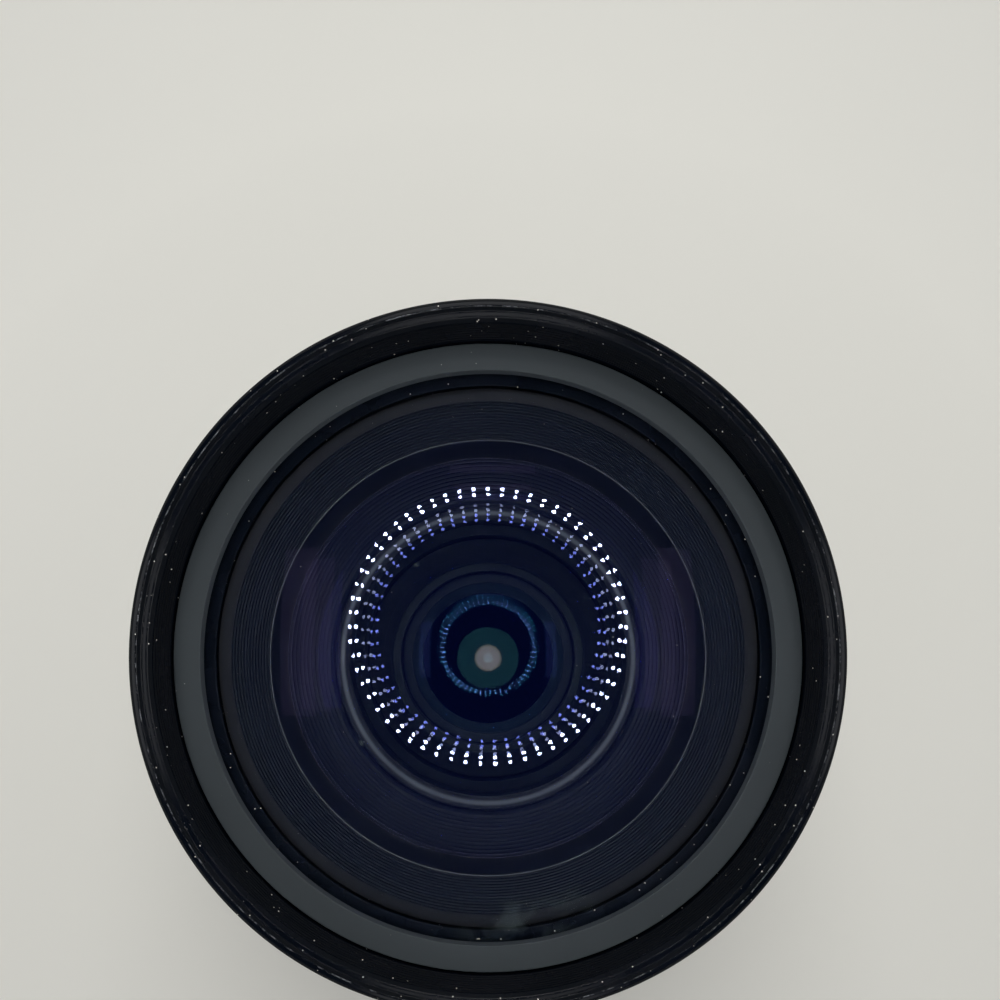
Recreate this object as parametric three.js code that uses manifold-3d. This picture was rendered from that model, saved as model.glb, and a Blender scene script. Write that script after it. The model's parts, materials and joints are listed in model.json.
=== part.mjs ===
// Wide-angle zoom lens for a single-lens reflex camera, standing on its rear end.
// Millimetres. The optical axis is Z, the bayonet tube's rear rim lies at z = 0 and the front rim is on top.
// The zoom ring turns a cam barrel, whose helical slots drive the front carrier and the rear group along Z.
// The focus ring turns the front cell on the carrier. The aperture ring turns the iris by a fork and an arm.

import * as THREE from 'three';
import { mergeVertices } from 'three/addons/utils/BufferGeometryUtils.js';
import Module from 'manifold-3d';

const wasm = await Module();
wasm.setup();

// Clearances
const runningGap = 0.4;
const seatGap = 0.3;
const cutOverrun = 1;

// Facets round each kind of piece
const outerFacets = 24;
const innerFacets = 18;
const pinFacets = 8;
const ballRows = 6;
const arcSteps = 2;
const arcBlockStep = 14;
const weldTolerance = 1e-4;

// Rear glass, link arm and rear sleeve, from the axis outwards
const rearGlassRadius = 13.8;
const rearBarrelWall = 1.4;
const linkGap = 0.7;
const linkThickness = 0.9;
const linkWidth = 3;
const linkOverlap = 0.5;
const sleeveWall = 1.6;

// Guide tube, cam barrel and rollers
const guideWall = 2;
const guideFlangeThickness = 2;
const camWall = 2;
const slotBridge = 1.5;
const rollerRadius = 1.6;
const studRadius = 0.8;
const studLength = 2.6;
const rearStudLength = 1.2;
const rollerCount = 3;
const rearRollerAngle = 0;
const frontRollerAngle = 30;
const zoomTurn = 70;
const frontTravel = 12;
const rearTravel = 8;
const slotSteps = 3;

// Bayonet mount
const bayonetWall = 2.4;
const bayonetTubeLength = 5;
const flangeThickness = 2;
const flangeOverhang = 1.2;
const lugDepth = 1.7;
const lugLow = 1.2;
const lugThickness = 1.6;
const lugSpan = 52;
const lugCount = 3;
const lockSlotRadius = 1.5;
const lockSlotDepth = 1.2;
const lockSlotInset = 3;
const lockSlotAngle = 180;
const mountScrewCount = 4;
const mountScrewAngle = 45;
const mountHeadRadius = 1.9;
const mountHeadHeight = 1.1;
const mountShankRadius = 1;
const mountShankLength = 3.4;

// Stop-down lever
const leverRingWidth = 2.6;
const leverRingThickness = 1.2;
const leverTabThickness = 1.4;
const leverTabWidth = 4;
const leverTabEnd = 1.3;
const leverAngle = 270;
const leverLip = 1.3;
const leverLipReach = 0.8;

// Rear barrel and click stop
const rearBarrelSleeveWall = 3.8;
const clickAngle = 240;
const clickBallRadius = 1;
const clickBallInset = 0.9;
const clickStep = 7.5;
const clickCount = 7;
const clickNotchRadius = 0.7;
const clickNotchHeight = 2.6;
const leafThickness = 0.4;
const leafWidth = 3;
const leafLength = 12;

// Aperture ring and fork
const apertureRingLength = 10.6;
const apertureRingWall = 2.2;
const apertureBandInset = 1.8;
const apertureBandLength = 4.4;
const apertureBandSlope = 0.5;
const apertureTurn = 45;
const scallopCount = 12;
const scallopHeight = 0.9;
const scallopShares = [0, 0.2, 0.8];
const scallopHeightShares = [0.1, 1, 1];
const apertureCone = 0.6;
const forkThickness = 2;
const forkInset = 1.4;
const forkWidth = 8;
const forkAngle = 90;
const forkProngReach = 0.8;
const forkScrewRadius = 0.45;
const forkScrewLength = 2.4;
const forkHeadRadius = 0.9;
const forkHeadLength = 1.1;

// Index barrel and the screws that hold it with the guide tube
const indexStep = 1.3;
const indexWall = 2;
const indexFloorThickness = 1.7;
const indexBarrelLength = 10.3;
const indexChamfer = 0.8;
const guideScrewAngle = 45;
const guideScrewCount = 3;
const guideHeadRadius = 1.8;
const guideHeadMargin = 2.2;
const guideHeadHeight = 1.3;
const guideShankRadius = 0.8;
const guideShankLength = 6.8;

// Zoom ring, its key and grip
const zoomRingWall = 2.2;
const collarHeight = 1.5;
const zoomKeyAngle = 25;
const zoomKeyWidth = 6;
const zoomKeyHeight = 3;
const zoomKeyInset = 0.6;
const keyHeadRadius = 1.2;
const keyHeadLength = 1.4;
const keyShankRadius = 0.7;
const keyShankBite = 1.2;
const gripThickness = 1.3;
const ribHeight = 0.9;
const ribEdge = 1.2;
const zoomNumberBand = 5.4;
const zoomFrontCollar = 2;
const zoomRibCount = 16;
const ribShares = [0, 0.12, 0.52, 0.64];
const ribHeightShares = [0, 1, 1, 0];

// Front carrier and focus ring
const carrierWall = 2.4;
const carrierFlangeThickness = 4;
const focusRingLength = 22.6;
const focusRingWall = 2.4;
const focusRearCollar = 2.4;
const focusFrontBand = 6.4;
const focusFlareStep = 0.2;
const focusFlareLength = 3.4;
const focusRibCount = 16;
const focusKeyWidth = 4;
const focusKeyHeight = 2;
const focusKeyDepth = 1;
const focusKeyBridge = 1.2;
const focusKeyAngle = 120;

// Front cell and its inner cell
const cellWall = 1.5;
const skirtLength = 6.2;
const cellTailLength = 8;
const cellShoulderThickness = 1.5;
const cellShoulderWidth = 2;
const groupClearance = 2.5;
const innerCellWall = 1.5;
const innerCellLip = 1.2;
const innerCellLipWidth = 1;
const innerFlangeThickness = 1.4;

// Front glass, from the rear to the front
const thirdGlassStep = 7.2;
const thirdEdge = 2.2;
const thirdFrontFaceRadius = 60;
const thirdRearFaceRadius = 150;
const thirdRingWidth = 1.6;
const thirdRingThickness = 1.5;
const cellTailMargin = 3.3;
const secondEdge = 3;
const secondFrontFaceRadius = 45;
const secondRearFaceRadius = 24;
const secondBowlShare = 0.77;
const frontGlassOverlap = 2.4;
const frontEdge = 2;
const frontFrontFaceRadius = 131;
const frontRearFaceRadius = 111;
const frontBowlShare = 0.24;

// Ridged baffle
const baffleWall = 0.8;
const baffleSleeveLength = 10.7;
const baffleConeHeight = 4.8;
const baffleConeWidth = 3.6;
const baffleRim = 0.5;
const baffleRimWidth = 1.1;
const baffleRidgeCount = 3;
const baffleRidgeDepth = 0.35;

// Filter ring and front retaining ring
const threadStep = 1.8;
const filterRingWall = 2.4;
const filterFloorThickness = 1.6;
const recessDepth = 6.9;
const rimChamfer = 0.4;
const rimBeadWidth = 0.9;
const rimStep = 0.4;
const threadLead = 0.5;
const waistDepth = 0.5;
const waistLow = 1.4;
const waistWidth = 1.2;
const retainingRingWidth = 3;
const retainingRingThickness = 1.6;

// Rear group
const rearClearance = 2;
const rearBarrelLength = 13.7;
const rearBarrelLip = 1;
const rearBarrelLipWidth = 1.2;
const webThickness = 2;
const relayGlassRadius = 12;
const relayCellWall = 1.2;
const relayFlangeThickness = 1.6;
const relayTubeLength = 5.6;
const relayFloorThickness = 0.8;
const relayEdge = 1.9;
const relayFrontFaceRadius = 38;
const relayRearFaceRadius = 90;
const relayRingThickness = 1.1;
const relayRingWidth = 1.3;
const fifthEdge = 2.5;
const fifthFrontFaceRadius = 60;
const fifthRearFaceRadius = 40;
const spacerThickness = 3;
const spacerWidth = 0.8;
const sixthEdge = 2.5;
const sixthFrontFaceRadius = 45;
const sixthRearFaceRadius = 35;
const rearRingWidth = 1.4;
const rearRingThickness = 1.3;

// Iris
const bladeCount = 6;
const bladeThickness = 0.3;
const bladeGap = 0.3;
const bladeWidth = 4.8;
const bladeMargin = 0.5;
const bladeSpan = 108;
const bladeTail = 4;
const bladeTurn = 27;
const pivotInset = 1;
const pinRadius = 0.6;
const pinGap = 0.3;
const pinBite = 1.5;
const earOverlap = 0.6;
const earReach = 0.9;
const earTail = 3.5;
const earSpan = 17.5;
const drivePinAngle = 14;
const webBoreInset = 0.2;
const irisRingThickness = 0.8;
const irisRingBridge = 0.8;
const irisSlotSteps = 4;
const irisLugBite = 0.4;
const pilotWall = 0.6;

// Radii worked out from the axis outwards
const rearBarrelInner = rearGlassRadius + seatGap;
const rearBarrelOuter = rearBarrelInner + rearBarrelWall;
const linkInner = rearBarrelOuter + linkGap;
const linkOuter = linkInner + linkThickness;
const sleeveInner = linkOuter + runningGap;
const sleeveOuter = sleeveInner + sleeveWall;
const guideInner = sleeveOuter + runningGap;
const guideOuter = guideInner + guideWall;
const camInner = guideOuter + runningGap;
const camOuter = camInner + camWall;
const carrierFlangeInner = camOuter + runningGap;
const secondGlassRadius = camOuter + cellTailMargin;
const thirdGlassRadius = secondGlassRadius - thirdGlassStep;
const cellInner = secondGlassRadius + seatGap;
const cellOuter = cellInner + cellWall;
const carrierInner = cellOuter + runningGap;
const carrierOuter = carrierInner + carrierWall;
const ringInner = carrierOuter + runningGap;
const zoomOuter = ringInner + zoomRingWall;
const focusOuter = ringInner + focusRingWall;
const leverInner = linkOuter + runningGap;
const leverOuter = leverInner + leverRingWidth;
const throatRadius = leverInner + leverTabThickness + runningGap;
const bayonetOuter = throatRadius + bayonetWall;
const guidePitch = camOuter + guideHeadMargin + guideHeadRadius;
const sleeveBore = guidePitch - rearBarrelSleeveWall / 2;
const rearBarrelRadius = sleeveBore + rearBarrelSleeveWall;
const flangeRadius = rearBarrelRadius + flangeOverhang;
const indexRadius = ringInner + indexStep;
const apertureInner = rearBarrelRadius + runningGap;
const apertureOuter = apertureInner + apertureRingWall;
const guideFlangeRadius = indexRadius - indexWall - seatGap;
const baffleOuter = secondGlassRadius;
const baffleInner = baffleOuter - baffleWall;
const baffleMouth = baffleInner + baffleConeWidth;
const baffleRimOuter = baffleMouth + baffleRimWidth;
const frontGlassRadius = baffleRimOuter + frontGlassOverlap;
const glassBore = frontGlassRadius + seatGap;
const threadRadius = glassBore + threadStep;
const filterOuter = threadRadius + filterRingWall;
const slotHalf = rollerRadius + runningGap;

// Heights worked out from the rear rim forwards
const flangeTop = bayonetTubeLength + flangeThickness;
const leverLow = flangeTop + seatGap;
const leverTop = leverLow + leverRingThickness;
const leverPocketTop = leverTop + runningGap;
const rearBarrelLow = flangeTop + seatGap;
const rearFloorTop = leverPocketTop + leverLip;
const apertureLow = flangeTop + runningGap;
const apertureTop = apertureLow + apertureRingLength;
const apertureMiddle = (apertureLow + apertureTop) / 2;
const forkTop = apertureTop - forkInset;
const forkLow = forkTop - forkThickness;
const rearBarrelTop = apertureTop + runningGap;
const indexLow = rearBarrelTop + seatGap;
const indexFloorTop = indexLow + indexFloorThickness;
const indexTop = indexLow + indexBarrelLength;
const guideLow = indexFloorTop + seatGap;
const guideFlangeTop = guideLow + guideFlangeThickness;
const zoomLow = indexTop + runningGap;
const zoomKeyLow = zoomLow + zoomKeyInset;
const zoomKeyTop = zoomKeyLow + zoomKeyHeight;
const carrierLow = zoomKeyTop + 2 * runningGap;
const carrierFlangeTop = carrierLow + carrierFlangeThickness;
const frontRollerZ = (carrierLow + carrierFlangeTop) / 2;
const guideTop = frontRollerZ + frontTravel + slotHalf + slotBridge;
const camLow = guideFlangeTop + runningGap;
const rearRollerZ = camLow + slotBridge + slotHalf;

// Rear group heights
const rearLow = forkTop + rearClearance;
const webLow = rearLow + rearBarrelLength + seatGap;
const webTop = webLow + webThickness;
const bladePitch = bladeThickness + bladeGap;
const irisLow = webTop + bladeGap + bladeCount * bladePitch;
const irisTop = irisLow + irisRingThickness;
const relayLow = irisTop + runningGap;
const relayTop = relayLow + relayFlangeThickness + relayTubeLength;
const pivotRadius = rearBarrelOuter - pivotInset;
const bladeOuter = pivotRadius - pinRadius - bladeMargin;
const bladeInner = bladeOuter - bladeWidth;
const pilotInner = bladeInner + seatGap;
const pilotOuter = pilotInner + pilotWall;

// Front group heights
const innerCellLow = guideTop + groupClearance;
const innerCellLipTop = innerCellLow + innerCellLip;
const innerCellInner = thirdGlassRadius + seatGap;
const innerCellOuter = innerCellInner + innerCellWall;
const thirdLipRadius = thirdGlassRadius - innerCellLipWidth;
const thirdLow = innerCellLipTop + seatGap + bulge(thirdRearFaceRadius, thirdGlassRadius, thirdLipRadius);
const thirdHigh = thirdLow + thirdEdge;
const thirdRingInner = thirdGlassRadius - thirdRingWidth;
const thirdRingLow = thirdHigh + bulge(thirdFrontFaceRadius, thirdGlassRadius, thirdRingInner) + seatGap;
const thirdRingTop = thirdRingLow + thirdRingThickness;
const innerFlangeTop = thirdRingTop + seatGap;
const innerFlangeLow = innerFlangeTop - innerFlangeThickness;
const cellShoulderTop = innerFlangeLow - seatGap;
const cellShoulderLow = cellShoulderTop - cellShoulderThickness;
const cellLow = cellShoulderLow - cellTailLength;
const secondLow = innerFlangeTop + seatGap;
const secondHigh = secondLow + secondEdge;
const baffleLow = secondHigh + bulge(secondFrontFaceRadius, secondGlassRadius, baffleInner) + seatGap;
const baffleLipZ = baffleLow + baffleSleeveLength;
const baffleConeTop = baffleLipZ + baffleConeHeight;
const baffleTop = baffleConeTop + baffleRim;
const frontLow = baffleTop + seatGap;
const frontHigh = frontLow + frontEdge;
const filterFloorTop = frontLow - seatGap;
const filterLow = filterFloorTop - filterFloorThickness;
const ringOuter = threadRadius - seatGap;
const ringBore = ringOuter - retainingRingWidth;
const retainingLow = frontHigh + bulge(frontFrontFaceRadius, frontGlassRadius, ringBore) + seatGap;
const retainingTop = retainingLow + retainingRingThickness;
const threadLow = retainingLow - seatGap;
const rimTop = retainingTop + recessDepth;
const cellTop = filterLow - seatGap;
const skirtLow = cellTop - skirtLength;
const carrierTop = skirtLow - runningGap;
const focusTop = filterLow - runningGap;
const focusLow = focusTop - focusRingLength;
const zoomTop = focusLow - runningGap;

// Geometry helpers

// Depth of a spherical surface of the given radius of curvature between its vertex and a ring of radius r.
function sag(curve, r) {
  return curve - Math.sqrt(curve * curve - r * r);
}

// Height of a spherical surface at radius r above its own edge ring.
function bulge(curve, edge, r) {
  return sag(curve, edge) - sag(curve, r);
}

function radians(degrees) {
  return THREE.MathUtils.degToRad(degrees);
}

function polar(radius, degrees) {
  return [radius * Math.cos(radians(degrees)), radius * Math.sin(radians(degrees))];
}

// Distance from the axis of a flat end whose corners lie on a circle.
function flatReach(radius, width) {
  return Math.sqrt(radius * radius - (width / 2) ** 2);
}

function isCollapsed(a, b, c) {
  return a === b || b === c || c === a;
}

// Joins equal corners, drops collapsed triangles and turns the faces outwards.
function weld(geometry) {
  geometry.deleteAttribute('normal');
  geometry.deleteAttribute('uv');
  const merged = mergeVertices(geometry, weldTolerance);
  const place = merged.getAttribute('position');
  const corners = (index) => new THREE.Vector3().fromBufferAttribute(place, index);
  const kept = [];
  let volume = 0;
  for (let i = 0; i < merged.index.count; i += 3) {
    const [a, b, c] = [merged.index.getX(i), merged.index.getX(i + 1), merged.index.getX(i + 2)];
    if (!isCollapsed(a, b, c)) {
      kept.push(a, b, c);
      volume += corners(a).dot(corners(b).cross(corners(c)));
    }
  }
  if (volume < 0) {
    kept.reverse();
  }
  merged.setIndex(kept);
  return merged;
}

function solid(geometry) {
  const clean = weld(geometry);
  const vertProperties = new Float32Array(clean.getAttribute('position').array);
  const triVerts = new Uint32Array(clean.index.array);
  return new wasm.Manifold(new wasm.Mesh({ numProp: 3, vertProperties, triVerts }));
}

function geometryOf(shape) {
  const mesh = shape.getMesh();
  const geometry = new THREE.BufferGeometry();
  const places = new Float32Array(mesh.vertProperties);
  geometry.setAttribute('position', new THREE.BufferAttribute(places, mesh.numProp));
  geometry.setIndex(Array.from(mesh.triVerts));
  return geometry;
}

function cut(body, cutters) {
  return cutters.reduce((rest, cutter) => rest.subtract(solid(cutter)), solid(body));
}

function join(bodies) {
  return bodies.map(solid).reduce((whole, next) => whole.add(next));
}

// A body turned about Z from a profile of [radius, height] points, run bottom outwards, up and back inwards.
function turned(profile, facets) {
  const points = profile.map(([radius, height]) => new THREE.Vector2(radius, height));
  const onAxis = profile[0][0] === 0;
  if (!onAxis) {
    points.push(points[0].clone());
  }
  return new THREE.LatheGeometry(points, facets).rotateX(Math.PI / 2);
}

function tube(inner, outer, low, high, facets) {
  return turned([[inner, low], [outer, low], [outer, high], [inner, high]], facets);
}

// A closed body through a row of sections with equal numbers of corners; looped joins the last to the first.
function lofted(sections, looped) {
  const size = sections[0].length;
  const index = [];
  const rows = looped ? sections.length : sections.length - 1;
  for (let row = 0; row < rows; row += 1) {
    const next = (row + 1) % sections.length;
    for (let corner = 0; corner < size; corner += 1) {
      const after = (corner + 1) % size;
      const [a, b] = [row * size + corner, row * size + after];
      const [c, d] = [next * size + after, next * size + corner];
      index.push(a, b, c, a, c, d);
    }
  }
  if (!looped) {
    const last = (sections.length - 1) * size;
    for (let corner = 1; corner < size - 1; corner += 1) {
      index.push(0, corner + 1, corner);
      index.push(last, last + corner, last + corner + 1);
    }
  }
  const geometry = new THREE.BufferGeometry();
  geometry.setAttribute('position', new THREE.Float32BufferAttribute(sections.flat(2), 3));
  geometry.setIndex(index);
  return geometry;
}

// A block between two radii and two heights, bent round the axis between two angles in degrees.
function arcBlock(inner, outer, low, high, from, to) {
  const steps = Math.max(1, Math.ceil((to - from) / arcBlockStep));
  const sections = [];
  for (let step = 0; step <= steps; step += 1) {
    const angle = from + ((to - from) * step) / steps;
    const [near, far] = [polar(inner, angle), polar(outer, angle)];
    sections.push([[...near, low], [...far, low], [...far, high], [...near, high]]);
  }
  return lofted(sections, false);
}

function axialPin(radius, low, high, pitch, angle, facets = pinFacets) {
  const pin = new THREE.CylinderGeometry(radius, radius, high - low, facets);
  return pin.rotateX(Math.PI / 2).translate(...polar(pitch, angle), (low + high) / 2);
}

// A stepped pin along a radius: profile points are [pin radius, distance from the axis].
function radialPin(profile, angle, height) {
  const pin = turned(profile, pinFacets);
  return pin.rotateY(Math.PI / 2).rotateZ(radians(angle)).translate(0, 0, height);
}

function radialHole(radius, from, to, angle, height) {
  return radialPin([[0, from], [radius, from], [radius, to], [0, to]], angle, height);
}

function radialBox(from, to, width, low, high, angle) {
  const box = new THREE.BoxGeometry(to - from, width, high - low);
  return box.translate((from + to) / 2, 0, (low + high) / 2).rotateZ(radians(angle));
}

function around(count, first, make) {
  return Array.from({ length: count }, (_, number) => make(first + (number * 360) / count, number));
}

// A cutter that follows a line of [angle, height] points, with round ends, through a tube wall.
function helicalCutter(from, to, rise, low, inner, outer) {
  const pitch = (inner + outer) / 2;
  const run = radians(to - from) * pitch;
  const length = Math.hypot(run, rise);
  const along = [run / length, rise / length];
  const across = [-along[1], along[0]];
  const stops = [];
  for (let step = 0; step <= slotSteps; step += 1) {
    stops.push([(length * step) / slotSteps, slotHalf]);
  }
  const roundingAngles = [45, 80].map(radians);
  const caps = roundingAngles.map((turn) => [slotHalf * Math.sin(turn), slotHalf * Math.cos(turn)]);
  const head = caps.map(([reach, half]) => [-reach, half]).reverse();
  const tail = caps.map(([reach, half]) => [length + reach, half]);
  const section = ([distance, half]) => {
    const corner = (side, radius) => {
      const flat = [0, 1].map((k) => along[k] * distance + across[k] * half * side);
      return [...polar(radius, from + THREE.MathUtils.radToDeg(flat[0] / pitch)), low + flat[1]];
    };
    return [corner(1, inner), corner(-1, inner), corner(-1, outer), corner(1, outer)];
  };
  return lofted([...head, ...stops, ...tail].map(section), false);
}

// A glass with spherical faces. A positive face curve bulges forwards, a negative one rearwards.
function glass({ low, high, radius, front, rear, bowl = radius, facets = innerFacets }) {
  const face = (curve, edge, r) => Math.sign(curve) * bulge(Math.abs(curve), edge, r);
  const shares = Array.from({ length: arcSteps + 1 }, (_, step) => step / arcSteps);
  const arc = (curve, edge, base) => shares
    .map((share) => [edge * share, base + face(curve, edge, edge * share)]);
  const rearArc = arc(rear, bowl, low);
  const frontArc = arc(front, radius, high).reverse();
  const flat = bowl < radius ? [[radius, low]] : [];
  return turned([...rearArc, ...flat, ...frontArc], facets);
}

// A ring whose outer radius changes round it: shares give the places in one repeat and the heights there.
function ribbedRing({ outline, count, shares, heights }) {
  const sections = [];
  for (let repeat = 0; repeat < count; repeat += 1) {
    shares.forEach((share, place) => {
      const angle = ((repeat + share) * 360) / count;
      sections.push(outline(heights[place]).map(([radius, height]) => [...polar(radius, angle), height]));
    });
  }
  return lofted(sections, true);
}

// Finishes
function finish(colour, roughness, metalness) {
  return new THREE.MeshStandardMaterial({ color: colour, roughness, metalness });
}

const finishes = {
  blackMetal: () => finish(0x17181b, 0.45, 0.6),
  greyMetal: () => finish(0x343739, 0.55, 0.4),
  innerBlack: () => finish(0x0d0e10, 0.8, 0.2),
  rubber: () => finish(0x161616, 0.85, 0),
  chrome: () => finish(0xb9bcc0, 0.25, 1),
  steel: () => finish(0x8d9094, 0.35, 1),
  brass: () => finish(0xb08d4b, 0.35, 1),
  aluminium: () => finish(0x9a9da1, 0.4, 1),
  coatedGlass: () => finish(0x141a3c, 0.05, 0),
};

const lens = new THREE.Group();

function add(name, geometry, material) {
  const mesh = new THREE.Mesh(weld(geometry), material);
  mesh.name = name;
  lens.add(mesh);
}

function addCut(name, shape, material) {
  add(name, geometryOf(shape), material);
}

// Fixed barrel

const mountPitch = (bayonetOuter + flangeRadius) / 2;
const mountHeadTop = bayonetTubeLength + mountHeadHeight;
const mountShankTop = mountHeadTop + mountShankLength;

function makeBayonetMount() {
  const body = turned([
    [throatRadius, 0],
    [bayonetOuter, 0],
    [bayonetOuter, bayonetTubeLength],
    [flangeRadius, bayonetTubeLength],
    [flangeRadius, flangeTop],
    [throatRadius, flangeTop],
  ], outerFacets);
  const lugs = around(lugCount, 0, (angle) => arcBlock(
    bayonetOuter - cutOverrun,
    bayonetOuter + lugDepth,
    lugLow,
    lugLow + lugThickness,
    angle,
    angle + lugSpan,
  ));
  const cutters = around(mountScrewCount, mountScrewAngle, (angle) => [
    axialPin(
      mountHeadRadius + seatGap,
      bayonetTubeLength - cutOverrun,
      mountHeadTop + seatGap,
      mountPitch,
      angle,
    ),
    axialPin(mountShankRadius + seatGap, bayonetTubeLength, flangeTop + cutOverrun, mountPitch, angle),
  ]).flat();
  const lockSlot = axialPin(
    lockSlotRadius,
    bayonetTubeLength - cutOverrun,
    bayonetTubeLength + lockSlotDepth,
    flangeRadius - lockSlotInset,
    lockSlotAngle,
  );
  const blank = geometryOf(join([body, ...lugs]));
  addCut('bayonet_mount', cut(blank, [...cutters, lockSlot]), finishes.chrome());
}

function makeMountScrews() {
  around(mountScrewCount, mountScrewAngle, (angle, number) => {
    const screw = turned([
      [0, bayonetTubeLength],
      [mountHeadRadius, bayonetTubeLength],
      [mountHeadRadius, mountHeadTop],
      [mountShankRadius, mountHeadTop],
      [mountShankRadius, mountShankTop],
      [0, mountShankTop],
    ], pinFacets);
    add(`mount_screw_${number + 1}`, screw.translate(...polar(mountPitch, angle), 0), finishes.steel());
  });
}

function makeStopDownLever() {
  const ring = tube(leverInner, leverOuter, leverLow, leverTop, innerFacets);
  const tabOuter = leverInner + leverTabThickness;
  const tab = radialBox(leverInner, tabOuter, leverTabWidth, leverTabEnd, leverTop, leverAngle);
  addCut('stop_down_lever', join([ring, tab]), finishes.steel());
}

const clickBallPitch = rearBarrelRadius - clickBallInset;
const clickPocketRadius = clickBallPitch - clickBallRadius;
const clickHoleRadius = clickBallRadius + seatGap;
const forkHalfAngle = THREE.MathUtils.radToDeg((forkWidth / 2 + runningGap) / sleeveBore);

function makeRearBarrel() {
  const body = turned([
    [leverOuter + runningGap, rearBarrelLow],
    [rearBarrelRadius, rearBarrelLow],
    [rearBarrelRadius, rearBarrelTop],
    [sleeveBore, rearBarrelTop],
    [sleeveBore, rearFloorTop],
    [leverOuter - leverLipReach, rearFloorTop],
    [leverOuter - leverLipReach, leverPocketTop],
    [leverOuter + runningGap, leverPocketTop],
  ], outerFacets);
  const mountHoles = around(mountScrewCount, mountScrewAngle, (angle) => axialPin(
    mountShankRadius + seatGap,
    rearBarrelLow - cutOverrun,
    mountShankTop + seatGap,
    mountPitch,
    angle,
  ));
  const guideHoles = around(guideScrewCount, guideScrewAngle, (angle) => axialPin(
    guideShankRadius + seatGap,
    guideFlangeTop - guideShankLength - seatGap,
    rearBarrelTop + cutOverrun,
    guidePitch,
    angle,
  ));
  const forkWindow = arcBlock(
    sleeveBore - cutOverrun,
    rearBarrelRadius + cutOverrun,
    forkLow - runningGap,
    rearBarrelTop + cutOverrun,
    forkAngle - forkHalfAngle,
    forkAngle + apertureTurn + forkHalfAngle,
  );
  const pocket = radialBox(
    sleeveBore - cutOverrun,
    clickPocketRadius,
    leafLength + 2 * seatGap,
    apertureMiddle - leafWidth / 2 - seatGap,
    apertureMiddle + leafWidth / 2 + seatGap,
    clickAngle,
  );
  const ballHole = radialHole(
    clickHoleRadius,
    clickPocketRadius - cutOverrun,
    rearBarrelRadius + cutOverrun,
    clickAngle,
    apertureMiddle,
  );
  const cutters = [...mountHoles, ...guideHoles, forkWindow, pocket, ballHole];
  addCut('rear_barrel', cut(body, cutters), finishes.innerBlack());
}

function makeClickStop() {
  const ball = new THREE.SphereGeometry(clickBallRadius, pinFacets, ballRows);
  add('click_ball', ball.translate(...polar(clickBallPitch, clickAngle), apertureMiddle), finishes.steel());
  const leafOuter = clickPocketRadius - seatGap;
  add('click_leaf_spring', radialBox(
    leafOuter - leafThickness,
    leafOuter,
    leafLength,
    apertureMiddle - leafWidth / 2,
    apertureMiddle + leafWidth / 2,
    clickAngle,
  ), finishes.steel());
}

function guideHole(angle) {
  return axialPin(
    guideShankRadius + seatGap,
    indexLow - cutOverrun,
    guideFlangeTop + cutOverrun,
    guidePitch,
    angle,
  );
}

function makeIndexBarrel() {
  const body = turned([
    [sleeveBore, indexLow],
    [indexRadius, indexLow],
    [indexRadius, indexTop - indexChamfer],
    [indexRadius - indexChamfer, indexTop],
    [indexRadius - indexWall, indexTop],
    [indexRadius - indexWall, indexFloorTop],
    [sleeveBore, indexFloorTop],
  ], outerFacets);
  const holes = around(guideScrewCount, guideScrewAngle, guideHole);
  addCut('index_barrel', cut(body, holes), finishes.blackMetal());
}

function straightSlot(angle, height, travel) {
  const box = radialBox(
    guideInner - cutOverrun,
    guideOuter + cutOverrun,
    2 * slotHalf,
    height,
    height + travel,
    angle,
  );
  const ends = [height, height + travel].map((end) => radialHole(
    slotHalf,
    guideInner - cutOverrun,
    guideOuter + cutOverrun,
    angle,
    end,
  ));
  return [box, ...ends];
}

function makeGuideTube() {
  const body = turned([
    [guideInner, guideLow],
    [guideFlangeRadius, guideLow],
    [guideFlangeRadius, guideFlangeTop],
    [guideOuter, guideFlangeTop],
    [guideOuter, guideTop],
    [guideInner, guideTop],
  ], innerFacets);
  const slots = [
    ...around(rollerCount, rearRollerAngle, (angle) => straightSlot(angle, rearRollerZ, rearTravel)),
    ...around(rollerCount, frontRollerAngle, (angle) => straightSlot(angle, frontRollerZ, frontTravel)),
  ].flat();
  const holes = around(guideScrewCount, guideScrewAngle, guideHole);
  addCut('guide_tube', cut(body, [...slots, ...holes]), finishes.aluminium());
}

function makeGuideScrews() {
  const shankEnd = guideFlangeTop - guideShankLength;
  const headTop = guideFlangeTop + guideHeadHeight;
  around(guideScrewCount, guideScrewAngle, (angle, number) => {
    const screw = turned([
      [0, shankEnd],
      [guideShankRadius, shankEnd],
      [guideShankRadius, guideFlangeTop],
      [guideHeadRadius, guideFlangeTop],
      [guideHeadRadius, headTop],
      [0, headTop],
    ], pinFacets);
    add(`guide_screw_${number + 1}`, screw.translate(...polar(guidePitch, angle), 0), finishes.steel());
  });
}

// Aperture ring

const forkEnd = flatReach(apertureInner - seatGap, forkWidth);
const forkMiddle = (forkLow + forkTop) / 2;
const forkHeadInner = apertureOuter - forkHeadLength;

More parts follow.
